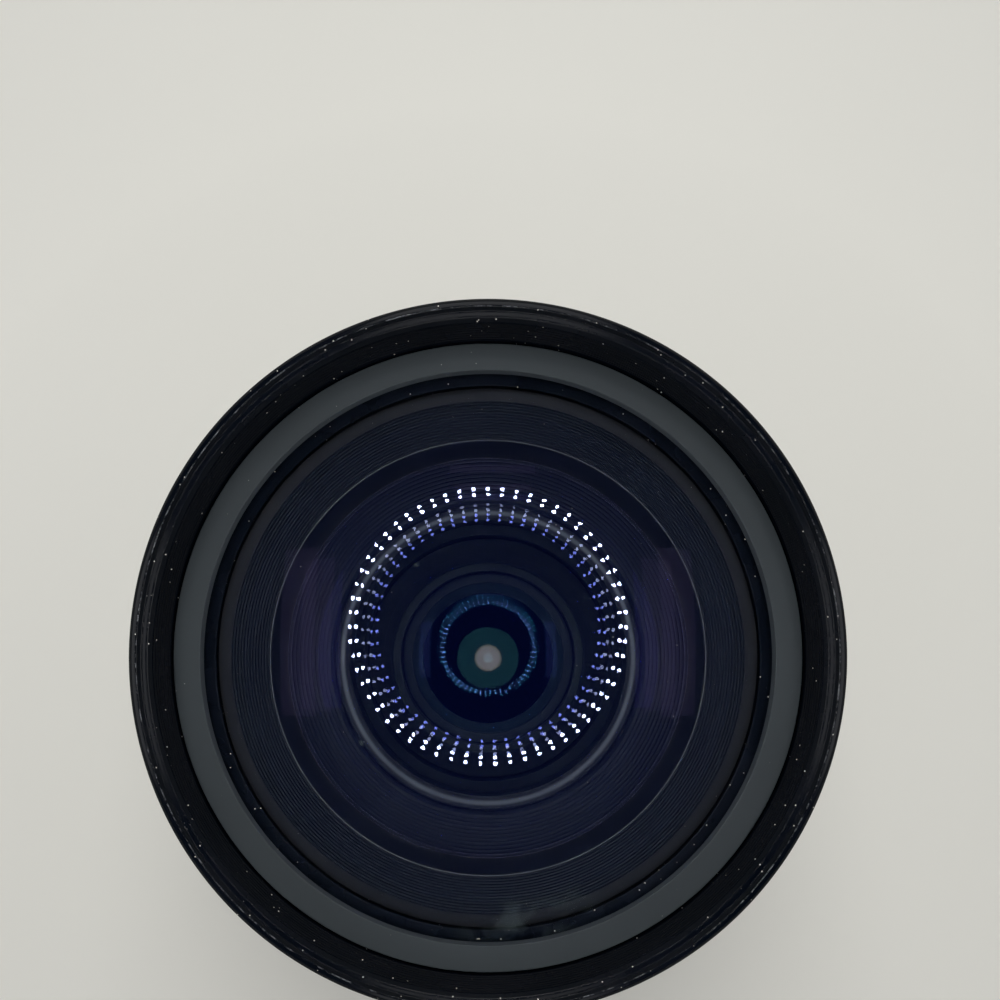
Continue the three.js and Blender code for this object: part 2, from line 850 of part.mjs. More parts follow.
function makeApertureRing() {
  const bandLow = apertureLow + apertureBandInset;
  const bandTop = bandLow + apertureBandLength;
  const body = ribbedRing({
    count: scallopCount,
    shares: scallopShares,
    heights: scallopHeightShares,
    outline: (share) => [
      [apertureInner, apertureLow],
      [apertureOuter, apertureLow],
      [apertureOuter, bandLow],
      [apertureOuter + scallopHeight * share, bandLow + apertureBandSlope],
      [apertureOuter + scallopHeight * share, bandTop - apertureBandSlope],
      [apertureOuter, bandTop],
      [apertureOuter - apertureCone, apertureTop],
      [apertureInner, apertureTop],
    ],
  });
  const notches = Array.from({ length: clickCount }, (_, number) => axialPin(
    clickNotchRadius,
    apertureMiddle - clickNotchHeight / 2,
    apertureMiddle + clickNotchHeight / 2,
    apertureInner,
    clickAngle - number * clickStep,
  ));
  const headHole = radialHole(
    forkHeadRadius + seatGap,
    forkHeadInner - seatGap,
    apertureOuter + cutOverrun,
    forkAngle,
    forkMiddle,
  );
  const shankHole = radialHole(
    forkScrewRadius + seatGap,
    apertureInner - cutOverrun,
    apertureOuter,
    forkAngle,
    forkMiddle,
  );
  addCut('aperture_ring', cut(body, [...notches, headHole, shankHole]), finishes.blackMetal());
}

function makeApertureFork() {
  const body = radialBox(linkInner - forkProngReach, forkEnd, forkWidth, forkLow, forkTop, forkAngle);
  const gap = radialBox(
    linkInner - forkProngReach - cutOverrun,
    linkOuter + runningGap,
    linkWidth + 2 * runningGap,
    forkLow - cutOverrun,
    forkTop + cutOverrun,
    forkAngle,
  );
  const hole = radialHole(
    forkScrewRadius + seatGap / 2,
    forkEnd - forkScrewLength,
    forkEnd + cutOverrun,
    forkAngle,
    forkMiddle,
  );
  addCut('aperture_fork', cut(body, [gap, hole]), finishes.steel());
  const tip = forkEnd - forkScrewLength + seatGap;
  add('fork_screw', radialPin([
    [0, tip],
    [forkScrewRadius, tip],
    [forkScrewRadius, forkHeadInner],
    [forkHeadRadius, forkHeadInner],
    [forkHeadRadius, forkHeadInner + forkHeadLength - seatGap],
    [0, forkHeadInner + forkHeadLength - seatGap],
  ], forkAngle, forkMiddle), finishes.steel());
}

// Zoom ring and cam barrel

const collarRadius = zoomOuter + collarHeight;
const zoomGripLow = zoomLow + zoomNumberBand;
const zoomGripTop = zoomTop - zoomFrontCollar;
const zoomKeyMiddle = (zoomKeyLow + zoomKeyTop) / 2;
const keyHeadInner = collarRadius - keyHeadLength;
const keyScrewTip = camOuter - keyShankBite;

function makeZoomRing() {
  const body = turned([
    [ringInner, zoomLow],
    [collarRadius, zoomLow],
    [collarRadius, zoomGripLow - seatGap],
    [zoomOuter, zoomGripLow - seatGap],
    [zoomOuter, zoomGripTop + seatGap],
    [collarRadius, zoomGripTop + seatGap],
    [collarRadius, zoomTop],
    [ringInner, zoomTop],
  ], outerFacets);
  const headHole = radialHole(
    keyHeadRadius + seatGap,
    keyHeadInner - seatGap,
    collarRadius + cutOverrun,
    zoomKeyAngle,
    zoomKeyMiddle,
  );
  const shankHole = radialHole(
    keyShankRadius + seatGap,
    ringInner - cutOverrun,
    collarRadius,
    zoomKeyAngle,
    zoomKeyMiddle,
  );
  addCut('zoom_ring', cut(body, [headHole, shankHole]), finishes.blackMetal());
}

function gripOutline(inner, low, top) {
  const base = inner + gripThickness;
  return (share) => [
    [inner, low],
    [base, low],
    [base + ribHeight * share, low + ribEdge],
    [base + ribHeight * share, top - ribEdge],
    [base, top],
    [inner, top],
  ];
}

function makeGrip(name, inner, low, top, count) {
  const outline = gripOutline(inner, low, top);
  add(name, ribbedRing({ outline, count, shares: ribShares, heights: ribHeightShares }), finishes.rubber());
}

function makeCamBarrel() {
  const body = tube(camInner, camOuter, camLow, guideTop, innerFacets);
  const slot = (rise, low) => (angle) => helicalCutter(
    angle,
    angle - zoomTurn,
    rise,
    low,
    camInner - cutOverrun,
    camOuter + cutOverrun,
  );
  const slots = [
    ...around(rollerCount, rearRollerAngle, slot(rearTravel, rearRollerZ)),
    ...around(rollerCount, frontRollerAngle, slot(frontTravel, frontRollerZ)),
  ];
  const keyHole = radialHole(
    keyShankRadius + seatGap,
    camInner - cutOverrun,
    camOuter + cutOverrun,
    zoomKeyAngle,
    zoomKeyMiddle,
  );
  addCut('cam_barrel', cut(body, [...slots, keyHole]), finishes.brass());
}

function makeZoomKey() {
  const block = radialBox(
    camOuter + seatGap,
    flatReach(ringInner - seatGap, zoomKeyWidth),
    zoomKeyWidth,
    zoomKeyLow,
    zoomKeyTop,
    zoomKeyAngle,
  );
  const hole = radialHole(keyShankRadius + seatGap, camOuter, ringInner, zoomKeyAngle, zoomKeyMiddle);
  addCut('zoom_key', cut(block, [hole]), finishes.brass());
  add('zoom_key_screw', radialPin([
    [0, keyScrewTip],
    [keyShankRadius, keyScrewTip],
    [keyShankRadius, keyHeadInner],
    [keyHeadRadius, keyHeadInner],
    [keyHeadRadius, keyHeadInner + keyHeadLength - seatGap],
    [0, keyHeadInner + keyHeadLength - seatGap],
  ], zoomKeyAngle, zoomKeyMiddle), finishes.steel());
}

// Front carrier and its rollers

const rollerOuterEnd = carrierFlangeInner - seatGap;
const studTip = rollerOuterEnd + studLength;

function makeFrontCarrier() {
  const body = turned([
    [carrierFlangeInner, carrierLow],
    [carrierOuter, carrierLow],
    [carrierOuter, carrierTop],
    [carrierInner, carrierTop],
    [carrierInner, carrierFlangeTop],
    [carrierFlangeInner, carrierFlangeTop],
  ], outerFacets);
  const holes = around(rollerCount, frontRollerAngle, (angle) => radialHole(
    studRadius + seatGap,
    carrierFlangeInner - cutOverrun,
    studTip + seatGap,
    angle,
    frontRollerZ,
  ));
  addCut('front_carrier', cut(body, holes), finishes.blackMetal());
  around(rollerCount, frontRollerAngle, (angle, number) => {
    const tip = sleeveOuter + 2 * runningGap;
    const roller = radialPin([
      [0, tip],
      [rollerRadius, tip],
      [rollerRadius, rollerOuterEnd],
      [studRadius, rollerOuterEnd],
      [studRadius, studTip],
      [0, studTip],
    ], angle, frontRollerZ);
    add(`carrier_roller_${number + 1}`, roller, finishes.brass());
  });
}

// Focus ring

const focusCollar = focusOuter + collarHeight;
const focusGripLow = focusLow + focusRearCollar;
const focusGripTop = focusTop - focusFrontBand;
const focusKeyTop = cellTop - focusKeyBridge;
const focusKeyInner = carrierOuter - focusKeyDepth;

function makeFocusRing() {
  add('focus_ring', turned([
    [ringInner, focusLow],
    [focusCollar, focusLow],
    [focusCollar, focusGripLow - seatGap],
    [focusOuter, focusGripLow - seatGap],
    [focusOuter, focusGripTop + seatGap],
    [focusCollar, focusGripTop + seatGap],
    [filterOuter - focusFlareStep, focusGripTop + seatGap + focusFlareLength],
    [filterOuter - focusFlareStep, focusTop],
    [ringInner, focusTop],
  ], outerFacets), finishes.blackMetal());
  add('focus_key', radialBox(
    focusKeyInner,
    flatReach(ringInner - seatGap, focusKeyWidth),
    focusKeyWidth,
    focusKeyTop - focusKeyHeight,
    focusKeyTop,
    focusKeyAngle,
  ), finishes.brass());
}

// Front cell

const mouthSlope = baffleConeWidth / baffleConeHeight;
const mouthTopRadius = cellInner + mouthSlope * (cellTop - baffleLipZ);

function makeFrontCell() {
  const body = turned([
    [cellInner, cellLow],
    [cellOuter, cellLow],
    [cellOuter, skirtLow],
    [carrierOuter, skirtLow],
    [carrierOuter, cellTop],
    [mouthTopRadius, cellTop],
    [cellInner, baffleLipZ],
    [cellInner, cellShoulderTop],
    [cellInner - cellShoulderWidth, cellShoulderTop],
    [cellInner - cellShoulderWidth, cellShoulderLow],
    [cellInner, cellShoulderLow],
  ], outerFacets);
  const keyway = radialBox(
    focusKeyInner - seatGap,
    carrierOuter + cutOverrun,
    focusKeyWidth + 2 * seatGap,
    skirtLow - cutOverrun,
    focusKeyTop + runningGap,
    focusKeyAngle,
  );
  addCut('front_cell', cut(body, [keyway]), finishes.innerBlack());
}

function makeInnerCell() {
  add('inner_cell', turned([
    [thirdLipRadius, innerCellLow],
    [innerCellOuter, innerCellLow],
    [innerCellOuter, innerFlangeLow],
    [secondGlassRadius, innerFlangeLow],
    [secondGlassRadius, innerFlangeTop],
    [innerCellInner, innerFlangeTop],
    [innerCellInner, innerCellLipTop],
    [thirdLipRadius, innerCellLipTop],
  ], innerFacets), finishes.innerBlack());
  add('third_retaining_ring', tube(
    thirdRingInner,
    thirdGlassRadius,
    thirdRingLow,
    thirdRingTop,
    innerFacets,
  ), finishes.innerBlack());
}

function makeFrontGlasses() {
  add('front_element', glass({
    low: frontLow,
    high: frontHigh,
    radius: frontGlassRadius,
    front: frontFrontFaceRadius,
    rear: frontRearFaceRadius,
    bowl: frontRearFaceRadius * frontBowlShare,
    facets: outerFacets,
  }), finishes.coatedGlass());
  add('second_element', glass({
    low: secondLow,
    high: secondHigh,
    radius: secondGlassRadius,
    front: secondFrontFaceRadius,
    rear: secondRearFaceRadius,
    bowl: secondRearFaceRadius * secondBowlShare,
    facets: outerFacets,
  }), finishes.coatedGlass());
  add('third_element', glass({
    low: thirdLow,
    high: thirdHigh,
    radius: thirdGlassRadius,
    front: thirdFrontFaceRadius,
    rear: -thirdRearFaceRadius,
  }), finishes.coatedGlass());
}

// The ridged cone steps down from the rim of the mouth to the lip, each ridge a riser and a sloping tread.
function makeRidgedBaffle() {
  const ridges = [];
  for (let ridge = 0; ridge < baffleRidgeCount; ridge += 1) {
    const share = 1 - ridge / baffleRidgeCount;
    const radius = baffleInner + baffleConeWidth * share;
    const height = baffleLipZ + baffleConeHeight * share;
    ridges.push([radius, height], [radius - baffleRidgeDepth, height]);
  }
  add('ridged_baffle', turned([
    [baffleInner, baffleLow],
    [baffleOuter, baffleLow],
    [baffleOuter, baffleLipZ],
    [baffleOuter + baffleConeWidth, baffleConeTop],
    [baffleRimOuter, baffleConeTop],
    [baffleRimOuter, baffleTop],
    [baffleMouth, baffleTop],
    ...ridges,
    [baffleInner, baffleLipZ],
  ], outerFacets), finishes.innerBlack());
}

function makeFilterRing() {
  const beadInner = filterOuter - rimBeadWidth;
  add('filter_ring', turned([
    [baffleRimOuter + seatGap, filterLow],
    [filterOuter, filterLow],
    [filterOuter, filterLow + waistLow],
    [filterOuter - waistDepth, filterLow + waistLow + waistDepth],
    [filterOuter - waistDepth, filterLow + waistLow + waistWidth],
    [filterOuter, filterLow + waistLow + waistWidth + waistDepth],
    [filterOuter, rimTop - rimChamfer],
    [filterOuter - rimChamfer, rimTop],
    [beadInner, rimTop],
    [beadInner - rimStep, rimTop - rimStep],
    [threadRadius + threadLead, rimTop - rimStep],
    [threadRadius, rimTop - rimStep - threadLead],
    [threadRadius, threadLow],
    [glassBore, threadLow],
    [glassBore, filterFloorTop],
    [baffleRimOuter + seatGap, filterFloorTop],
  ], outerFacets), finishes.blackMetal());
  add('front_retaining_ring', tube(
    ringBore,
    ringOuter,
    retainingLow,
    retainingTop,
    outerFacets,
  ), finishes.greyMetal());
}

// Rear group

const rollerInnerEnd = sleeveOuter + seatGap;
const rearStudTip = rollerInnerEnd - rearStudLength;
const linkHalfAngle = THREE.MathUtils.radToDeg((linkWidth / 2 + runningGap) / linkInner);

function makeRearCell() {
  const body = turned([
    [sleeveInner, rearLow],
    [sleeveOuter, rearLow],
    [sleeveOuter, relayTop],
    [sleeveInner, relayTop],
    [sleeveInner, webTop],
    [bladeInner - webBoreInset, webTop],
    [bladeInner - webBoreInset, webLow],
    [sleeveInner, webLow],
  ], innerFacets);
  const linkWindow = arcBlock(
    linkInner - seatGap,
    sleeveInner - seatGap / 2,
    webLow - cutOverrun,
    webTop + cutOverrun,
    forkAngle - linkHalfAngle,
    forkAngle + apertureTurn + linkHalfAngle,
  );
  const pivots = around(bladeCount, 0, (angle) => axialPin(
    pinRadius + pinGap,
    webLow - cutOverrun,
    webTop + cutOverrun,
    pivotRadius,
    angle,
  ));
  const studs = around(rollerCount, rearRollerAngle, (angle) => radialHole(
    studRadius + seatGap,
    sleeveInner - cutOverrun,
    sleeveOuter + cutOverrun,
    angle,
    rearRollerZ,
  ));
  addCut('rear_cell', cut(body, [linkWindow, ...pivots, ...studs]), finishes.innerBlack());
  around(rollerCount, rearRollerAngle, (angle, number) => {
    const roller = radialPin([
      [0, rearStudTip],
      [studRadius, rearStudTip],
      [studRadius, rollerInnerEnd],
      [rollerRadius, rollerInnerEnd],
      [rollerRadius, camOuter - seatGap],
      [0, camOuter - seatGap],
    ], angle, rearRollerZ);
    add(`rear_roller_${number + 1}`, roller, finishes.brass());
  });
}

const relayInner = relayGlassRadius + seatGap;
const relayOuter = relayInner + relayCellWall;
const relayFlangeTop = relayLow + relayFlangeThickness;
const relayFloorTop = relayLow + relayFloorThickness;
const fourthLow = relayFloorTop + seatGap + bulge(relayRearFaceRadius, relayGlassRadius, pilotInner);
const fourthHigh = fourthLow + relayEdge;
const relayRingInner = relayGlassRadius - relayRingWidth;
const relayRingLow = fourthHigh + bulge(relayFrontFaceRadius, relayGlassRadius, relayRingInner) + seatGap;

function makeRelayCell() {
  add('relay_cell', turned([
    [pilotInner, irisLow],
    [pilotOuter, irisLow],
    [pilotOuter, relayLow],
    [sleeveInner - seatGap, relayLow],
    [sleeveInner - seatGap, relayFlangeTop],
    [relayOuter, relayFlangeTop],
    [relayOuter, relayTop],
    [relayInner, relayTop],
    [relayInner, relayFloorTop],
    [pilotInner, relayFloorTop],
  ], innerFacets), finishes.innerBlack());
  add('fourth_element', glass({
    low: fourthLow,
    high: fourthHigh,
    radius: relayGlassRadius,
    front: relayFrontFaceRadius,
    rear: -relayRearFaceRadius,
  }), finishes.coatedGlass());
  add('relay_retaining_ring', tube(
    relayRingInner,
    relayGlassRadius,
    relayRingLow,
    relayRingLow + relayRingThickness,
    innerFacets,
  ), finishes.innerBlack());
}

const barrelTop = rearLow + rearBarrelLength;
const barrelLipLow = barrelTop - rearBarrelLip;
const barrelLipRadius = rearGlassRadius - rearBarrelLipWidth;
const fifthHigh = barrelLipLow - seatGap - bulge(fifthFrontFaceRadius, rearGlassRadius, barrelLipRadius);
const fifthLow = fifthHigh - fifthEdge;
const spacerInner = rearGlassRadius - spacerWidth;
const spacerTop = fifthLow - bulge(fifthRearFaceRadius, rearGlassRadius, spacerInner) - seatGap;
const spacerLow = spacerTop - spacerThickness;
const sixthHigh = spacerLow - seatGap;
const sixthLow = sixthHigh - sixthEdge;
const rearRingInner = rearGlassRadius - rearRingWidth;
const rearRingTop = sixthLow - bulge(sixthRearFaceRadius, rearGlassRadius, rearRingInner) - seatGap;
const rearRingLow = rearRingTop - rearRingThickness;

function makeRearLensBarrel() {
  add('rear_lens_barrel', turned([
    [rearBarrelInner, rearLow],
    [rearBarrelOuter, rearLow],
    [rearBarrelOuter, barrelTop],
    [barrelLipRadius, barrelTop],
    [barrelLipRadius, barrelLipLow],
    [rearBarrelInner, barrelLipLow],
  ], innerFacets), finishes.innerBlack());
  add('fifth_element', glass({
    low: fifthLow,
    high: fifthHigh,
    radius: rearGlassRadius,
    front: fifthFrontFaceRadius,
    rear: -fifthRearFaceRadius,
  }), finishes.coatedGlass());
  const spacer = tube(spacerInner, rearGlassRadius, spacerLow, spacerTop, innerFacets);
  add('rear_spacer', spacer, finishes.innerBlack());
  add('sixth_element', glass({
    low: sixthLow,
    high: sixthHigh,
    radius: rearGlassRadius,
    front: -sixthFrontFaceRadius,
    rear: -sixthRearFaceRadius,
  }), finishes.coatedGlass());
  add('rear_retaining_ring', tube(
    rearRingInner,
    rearGlassRadius,
    rearRingLow,
    rearRingTop,
    innerFacets,
  ), finishes.innerBlack());
}

// Iris

// Place of a blade's drive pin, seen from the iris ring, when the ring has turned by a share of its range.
function drivePinPlace(share) {
  const [pinX, pinY] = polar(pivotRadius, drivePinAngle);
  const turn = radians(bladeTurn * share);
  const [x, y] = [pinX - pivotRadius, pinY];
  const place = [
    pivotRadius + x * Math.cos(turn) - y * Math.sin(turn),
    x * Math.sin(turn) + y * Math.cos(turn),
  ];
  const back = radians(-apertureTurn * share);
  return [
    place[0] * Math.cos(back) - place[1] * Math.sin(back),
    place[0] * Math.sin(back) + place[1] * Math.cos(back),
  ];
}

// Cutter for one cam slot of the iris ring: the drive pin's path, widened by the pin and its gap.
function irisSlot(angle) {
  const half = pinRadius + pinGap;
  const low = irisLow - cutOverrun;
  const high = irisTop + cutOverrun;
  const path = Array.from({ length: irisSlotSteps + 1 }, (_, step) => drivePinPlace(step / irisSlotSteps));
  const sections = path.map(([x, y]) => {
    const radius = Math.hypot(x, y);
    const [inner, outer] = [(radius - half) / radius, (radius + half) / radius];
    return [[x * inner, y * inner, low], [x * outer, y * outer, low], [x * outer, y * outer, high],
      [x * inner, y * inner, high]];
  });
  const ends = [path[0], path[irisSlotSteps]].map(([x, y]) => {
    const degrees = THREE.MathUtils.radToDeg(Math.atan2(y, x));
    return axialPin(half, low, high, Math.hypot(x, y), degrees);
  });
  return [lofted(sections, false), ...ends].map((geometry) => geometry.rotateZ(radians(angle)));
}

function makeIrisRing() {
  const outer = pivotRadius + pinRadius + pinGap + irisRingBridge;
  const ring = tube(pilotOuter + runningGap, outer, irisLow, irisTop, innerFacets);
  const lug = radialBox(outer - irisLugBite - seatGap, linkOuter, linkWidth, irisLow, irisTop, forkAngle);
  const armEnd = forkLow - rearTravel - linkOverlap;
  const arm = radialBox(linkInner, linkOuter, linkWidth, armEnd, irisTop, forkAngle);
  const slots = around(bladeCount, 0, irisSlot).flat();
  const body = slots.reduce((rest, next) => rest.subtract(solid(next)), join([ring]));
  addCut('iris_ring', body.add(join([lug, arm])), finishes.steel());
}

function makeBlades() {
  around(bladeCount, 0, (angle, number) => {
    const low = webTop + bladeGap + number * bladePitch;
    const high = low + bladeThickness;
    const crescent = arcBlock(bladeInner, bladeOuter, low, high, -bladeTail, bladeSpan);
    const ear = arcBlock(bladeOuter - earOverlap, pivotRadius + earReach, low, high, -earTail, earSpan);
    const pivot = axialPin(pinRadius, webTop - pinBite, high, pivotRadius, 0);
    const drive = axialPin(pinRadius, low, irisTop - seatGap, pivotRadius, drivePinAngle);
    const blade = geometryOf(join([crescent, ear, pivot, drive]));
    add(`blade_${number + 1}`, blade.rotateZ(radians(angle)), finishes.blackMetal());
  });
}

makeBayonetMount();
makeMountScrews();
makeStopDownLever();
makeRearBarrel();
makeClickStop();
makeIndexBarrel();
makeGuideTube();
makeGuideScrews();
makeApertureRing();
makeApertureFork();
makeZoomRing();
makeGrip('zoom_grip', zoomOuter + seatGap, zoomGripLow, zoomGripTop, zoomRibCount);
makeCamBarrel();
makeZoomKey();
makeFrontCarrier();
makeFocusRing();
makeGrip('focus_grip', focusOuter + seatGap, focusGripLow, focusGripTop, focusRibCount);
makeFrontCell();
makeInnerCell();
makeFrontGlasses();
makeRidgedBaffle();
makeFilterRing();
makeRearCell();
makeRelayCell();
makeRearLensBarrel();
makeIrisRing();
makeBlades();

export default lens;
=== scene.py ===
"""Looks of a wide-angle zoom lens that stands on its rear end, seen straight down its optical axis.

The glasses, rings and barrels are surfaces turned about the optical axis, which is Z. Lengths are in metres.
"""

import json
import math

import bpy
import numpy as np
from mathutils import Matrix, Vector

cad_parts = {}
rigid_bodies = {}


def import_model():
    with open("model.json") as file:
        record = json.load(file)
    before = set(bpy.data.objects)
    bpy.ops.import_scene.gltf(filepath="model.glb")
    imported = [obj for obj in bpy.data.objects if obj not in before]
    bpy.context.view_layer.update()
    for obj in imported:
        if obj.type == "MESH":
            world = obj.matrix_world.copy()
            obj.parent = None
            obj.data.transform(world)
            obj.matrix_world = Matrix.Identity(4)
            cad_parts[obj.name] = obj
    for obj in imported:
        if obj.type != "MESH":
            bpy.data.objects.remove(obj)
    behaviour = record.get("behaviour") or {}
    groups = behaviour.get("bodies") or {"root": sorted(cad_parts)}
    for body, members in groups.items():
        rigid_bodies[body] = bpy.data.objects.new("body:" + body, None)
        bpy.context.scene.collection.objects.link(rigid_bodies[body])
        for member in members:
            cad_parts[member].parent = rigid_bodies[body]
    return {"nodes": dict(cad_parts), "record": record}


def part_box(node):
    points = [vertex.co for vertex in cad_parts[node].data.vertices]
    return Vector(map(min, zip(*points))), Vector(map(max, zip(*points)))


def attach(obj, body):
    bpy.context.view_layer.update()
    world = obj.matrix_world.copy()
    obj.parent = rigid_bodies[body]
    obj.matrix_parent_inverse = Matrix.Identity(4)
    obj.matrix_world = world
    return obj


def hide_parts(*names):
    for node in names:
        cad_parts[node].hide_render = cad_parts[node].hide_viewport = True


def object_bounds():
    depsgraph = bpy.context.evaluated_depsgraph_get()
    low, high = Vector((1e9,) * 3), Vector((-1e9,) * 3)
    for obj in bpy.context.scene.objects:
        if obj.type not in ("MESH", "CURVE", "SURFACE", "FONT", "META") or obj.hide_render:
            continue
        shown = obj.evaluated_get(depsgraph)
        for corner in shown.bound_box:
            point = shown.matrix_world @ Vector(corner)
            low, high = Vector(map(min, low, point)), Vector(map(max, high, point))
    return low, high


bl_info = {
    "name": "Zoom lens looks",
    "version": (1, 0, 0),
    "blender": (4, 5, 0),
    "location": "View3D > Sidebar > Lens",
    "description": "Builds the fine surfaces, materials, lamps and camera of a zoom lens",
    "category": "Add Mesh",
}

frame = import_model()
CAD_BOX = [list(corner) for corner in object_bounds()]
MM = 0.001
TURN = 2 * math.pi
DEGREE = math.pi / 180


def node_box(name):
    """Outer radius, lowest and highest z of a CAD node whose axis is Z."""
    low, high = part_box(name)
    reach = max(abs(low.x), abs(high.x), abs(low.y), abs(high.y))
    return reach, low.z, high.z


# Sizes and colours that a user would change


def length(name, description, millimetres):
    return bpy.props.FloatProperty(name=name, description=description, default=millimetres * MM, unit="LENGTH")


def angle(name, description, degrees):
    return bpy.props.FloatProperty(name=name, description=description, default=degrees * DEGREE, unit="ROTATION")


class LensSizes(bpy.types.PropertyGroup):
    """Sizes of the visible rings, barrels and mount."""

    edge: length("Edge", "Rounding of the edges of turned metal", 0.12)
    glass_edge: length("Glass edge", "Rounding of the edges of the glasses", 0.08)
    thread_radius: length("Thread radius", "Radius of the filter thread's crests", 35.6)
    thread_pitch: length("Thread pitch", "Distance between the turns of the filter thread", 0.75)
    thread_depth: length("Thread depth", "Depth of the filter thread", 0.34)
    seat_radius: length("Seat radius", "Radius of the front glass's seat in the filter ring", 33.8)
    floor_thickness: length("Floor thickness", "Thickness of the filter ring's floor", 1.6)
    thread_low: length("Thread floor", "Depth of the thread's floor under the front rim", 8.8)
    rim_chamfer: length("Rim chamfer", "Chamfer of the front rim", 0.4)
    rim_bead: length("Rim bead", "Width of the front rim's flat bead with its chamfer", 0.9)
    rim_step: length("Rim step", "Step down inside the front rim's bead", 0.4)
    rim_slope: length("Rim slope", "How far the rim's bead and step fall towards the outside", 0.1)
    thread_lead: length("Thread lead", "Chamfer at the mouth of the filter thread", 0.5)
    waist_low: length("Waist height", "Height of the shadow groove above the filter ring's rear face", 1.4)
    waist_width: length("Waist width", "Height of the shadow groove's slopes and floor", 1.2)
    waist_depth: length("Waist depth", "Depth of the shadow groove", 0.5)
    retaining_width: length("Retaining ring width", "Width of the grey front retaining ring", 3.0)
    baffle_wall: length("Baffle wall", "Wall of the baffle's sleeve", 0.8)
    baffle_sleeve: length("Baffle sleeve", "Height of the baffle's sleeve up to the lip", 10.7)
    baffle_cone: length("Baffle cone", "Height of the ridged cone", 4.8)
    baffle_width: length("Baffle width", "Width of the ridged cone", 3.2)
    baffle_rim: length("Baffle rim", "Width of the flat rim outside the cone", 1.5)
    ridge_depth: length("Ridge depth", "Depth of one ridge of the baffle", 0.16)
    ring_bore: length("Ring bore", "Radius inside the zoom and focus rings", 32.2)
    zoom_wall: length("Zoom wall", "Wall of the zoom ring under its grip", 2.2)
    focus_wall: length("Focus wall", "Wall of the focus ring under its grip", 2.4)
    collar: length("Collar", "Height of the collars beside the grips", 1.5)
    grip_seat: length("Grip seat", "Gap between a grip and the ring under it", 0.3)
    grip_base: length("Grip base", "Thickness of a rubber grip between its ribs", 1.3)
    rib_height: length("Rib height", "Height of the grip's ribs", 0.9)
    rib_edge: length("Rib edge", "Height over which a rib rises from the grip's ends", 1.2)
    number_height: length("Number height", "Height of the engraved numbers", 2.3)
    paint: length("Paint", "Height of the paint in the numbers over the metal", 0.03)
    carrier_wall: length("Carrier wall", "Wall of the front carrier", 2.4)
    mount_wall: length("Mount wall", "Wall of the bayonet tube", 2.4)
    mount_throat: length("Mount throat", "Radius inside the bayonet tube", 19.3)
    mount_tube: length("Mount tube", "Length of the bayonet tube behind the flange", 5.0)
    lug_depth: length("Lug depth", "How far the bayonet's lugs stand out", 1.7)
    lug_low: length("Lug height", "Height of the lugs above the rear rim", 1.2)
    lug_thickness: length("Lug thickness", "Thickness of the lugs", 1.6)
    lug_span: angle("Lug span", "Angle that one lug covers", 52)


class LensColours(bpy.types.PropertyGroup):
    """Colours a user would change, as sRGB hex values."""

    black_metal: bpy.props.StringProperty(name="Black metal", description="Black anodised aluminium", default="#17181a")
    grey_metal: bpy.props.StringProperty(name="Grey metal", description="Grey anodised ring", default="#32383c")
    inner_black: bpy.props.StringProperty(name="Inner black", description="Matt black of the inside", default="#07090d")
    rubber: bpy.props.StringProperty(name="Rubber", description="Rubber of the grips", default="#1b1b1b")
    numbers: bpy.props.StringProperty(name="Numbers", description="Paint in the numbers", default="#e8e6df")
    accent: bpy.props.StringProperty(name="Accent", description="Paint of the accent numbers", default="#d98a2b")
    floor: bpy.props.StringProperty(name="Floor", description="Table under the lens", default="#e0dfd6")


def sizes():
    return bpy.context.scene.lens_sizes


def colours():
    return bpy.context.scene.lens_colours


# Materials


def linear(code, alpha=1.0):
    """Linear colour of an sRGB hex value: each channel is divided by 12.92 below 0.04045, else raised to 2.4."""
    channels = np.array([int(code[place : place + 2], 16) for place in (1, 3, 5)]) / 255
    bright = ((channels + 0.055) / 1.055) ** 2.4
    return (*np.where(channels <= 0.04045, channels / 12.92, bright), alpha)


def add_node(tree, kind, values=None, links=None, **settings):
    """Adds one node, sets its properties and loose sockets, and links its sockets from other nodes' outputs."""
    made = tree.nodes.new(kind)
    for name, value in settings.items():
        setattr(made, name, value)
    for socket, value in (values or {}).items():
        made.inputs[socket].default_value = value
    for socket, source in (links or {}).items():
        tree.links.new(source, made.inputs[socket])
    return made


def material_tree(name):
    """A new material with an empty node tree, or None where it exists already, with the material."""
    found = bpy.data.materials.get(name)
    if found:
        return found, None
    made = bpy.data.materials.new(name)
    made.use_nodes = True
    made.node_tree.nodes.clear()
    return made, made.node_tree


def ramp(tree, source, low, high, low_value, high_value):
    """A value that goes from low_value to high_value while the source goes from low to high."""
    node = add_node(
        tree,
        "ShaderNodeMapRange",
        {"From Min": low, "From Max": high, "To Min": low_value, "To Max": high_value},
        {"Value": source},
    )
    return node.outputs["Result"]


def mixed(tree, share, first, second):
    """A colour between two colours or colour outputs, by a share from 0 to 1."""
    values = {}
    links = {"Factor": share}
    for socket, colour in (("A", first), ("B", second)):
        if isinstance(colour, tuple):
            values[socket] = colour
        else:
            links[socket] = colour
    node = tree.nodes.new("ShaderNodeMix")
    node.data_type = "RGBA"
    sockets = {"Factor": node.inputs[0], "A": node.inputs[6], "B": node.inputs[7]}
    for socket, value in values.items():
        sockets[socket].default_value = value
    for socket, source in links.items():
        tree.links.new(source, sockets[socket])
    return node.outputs[2]


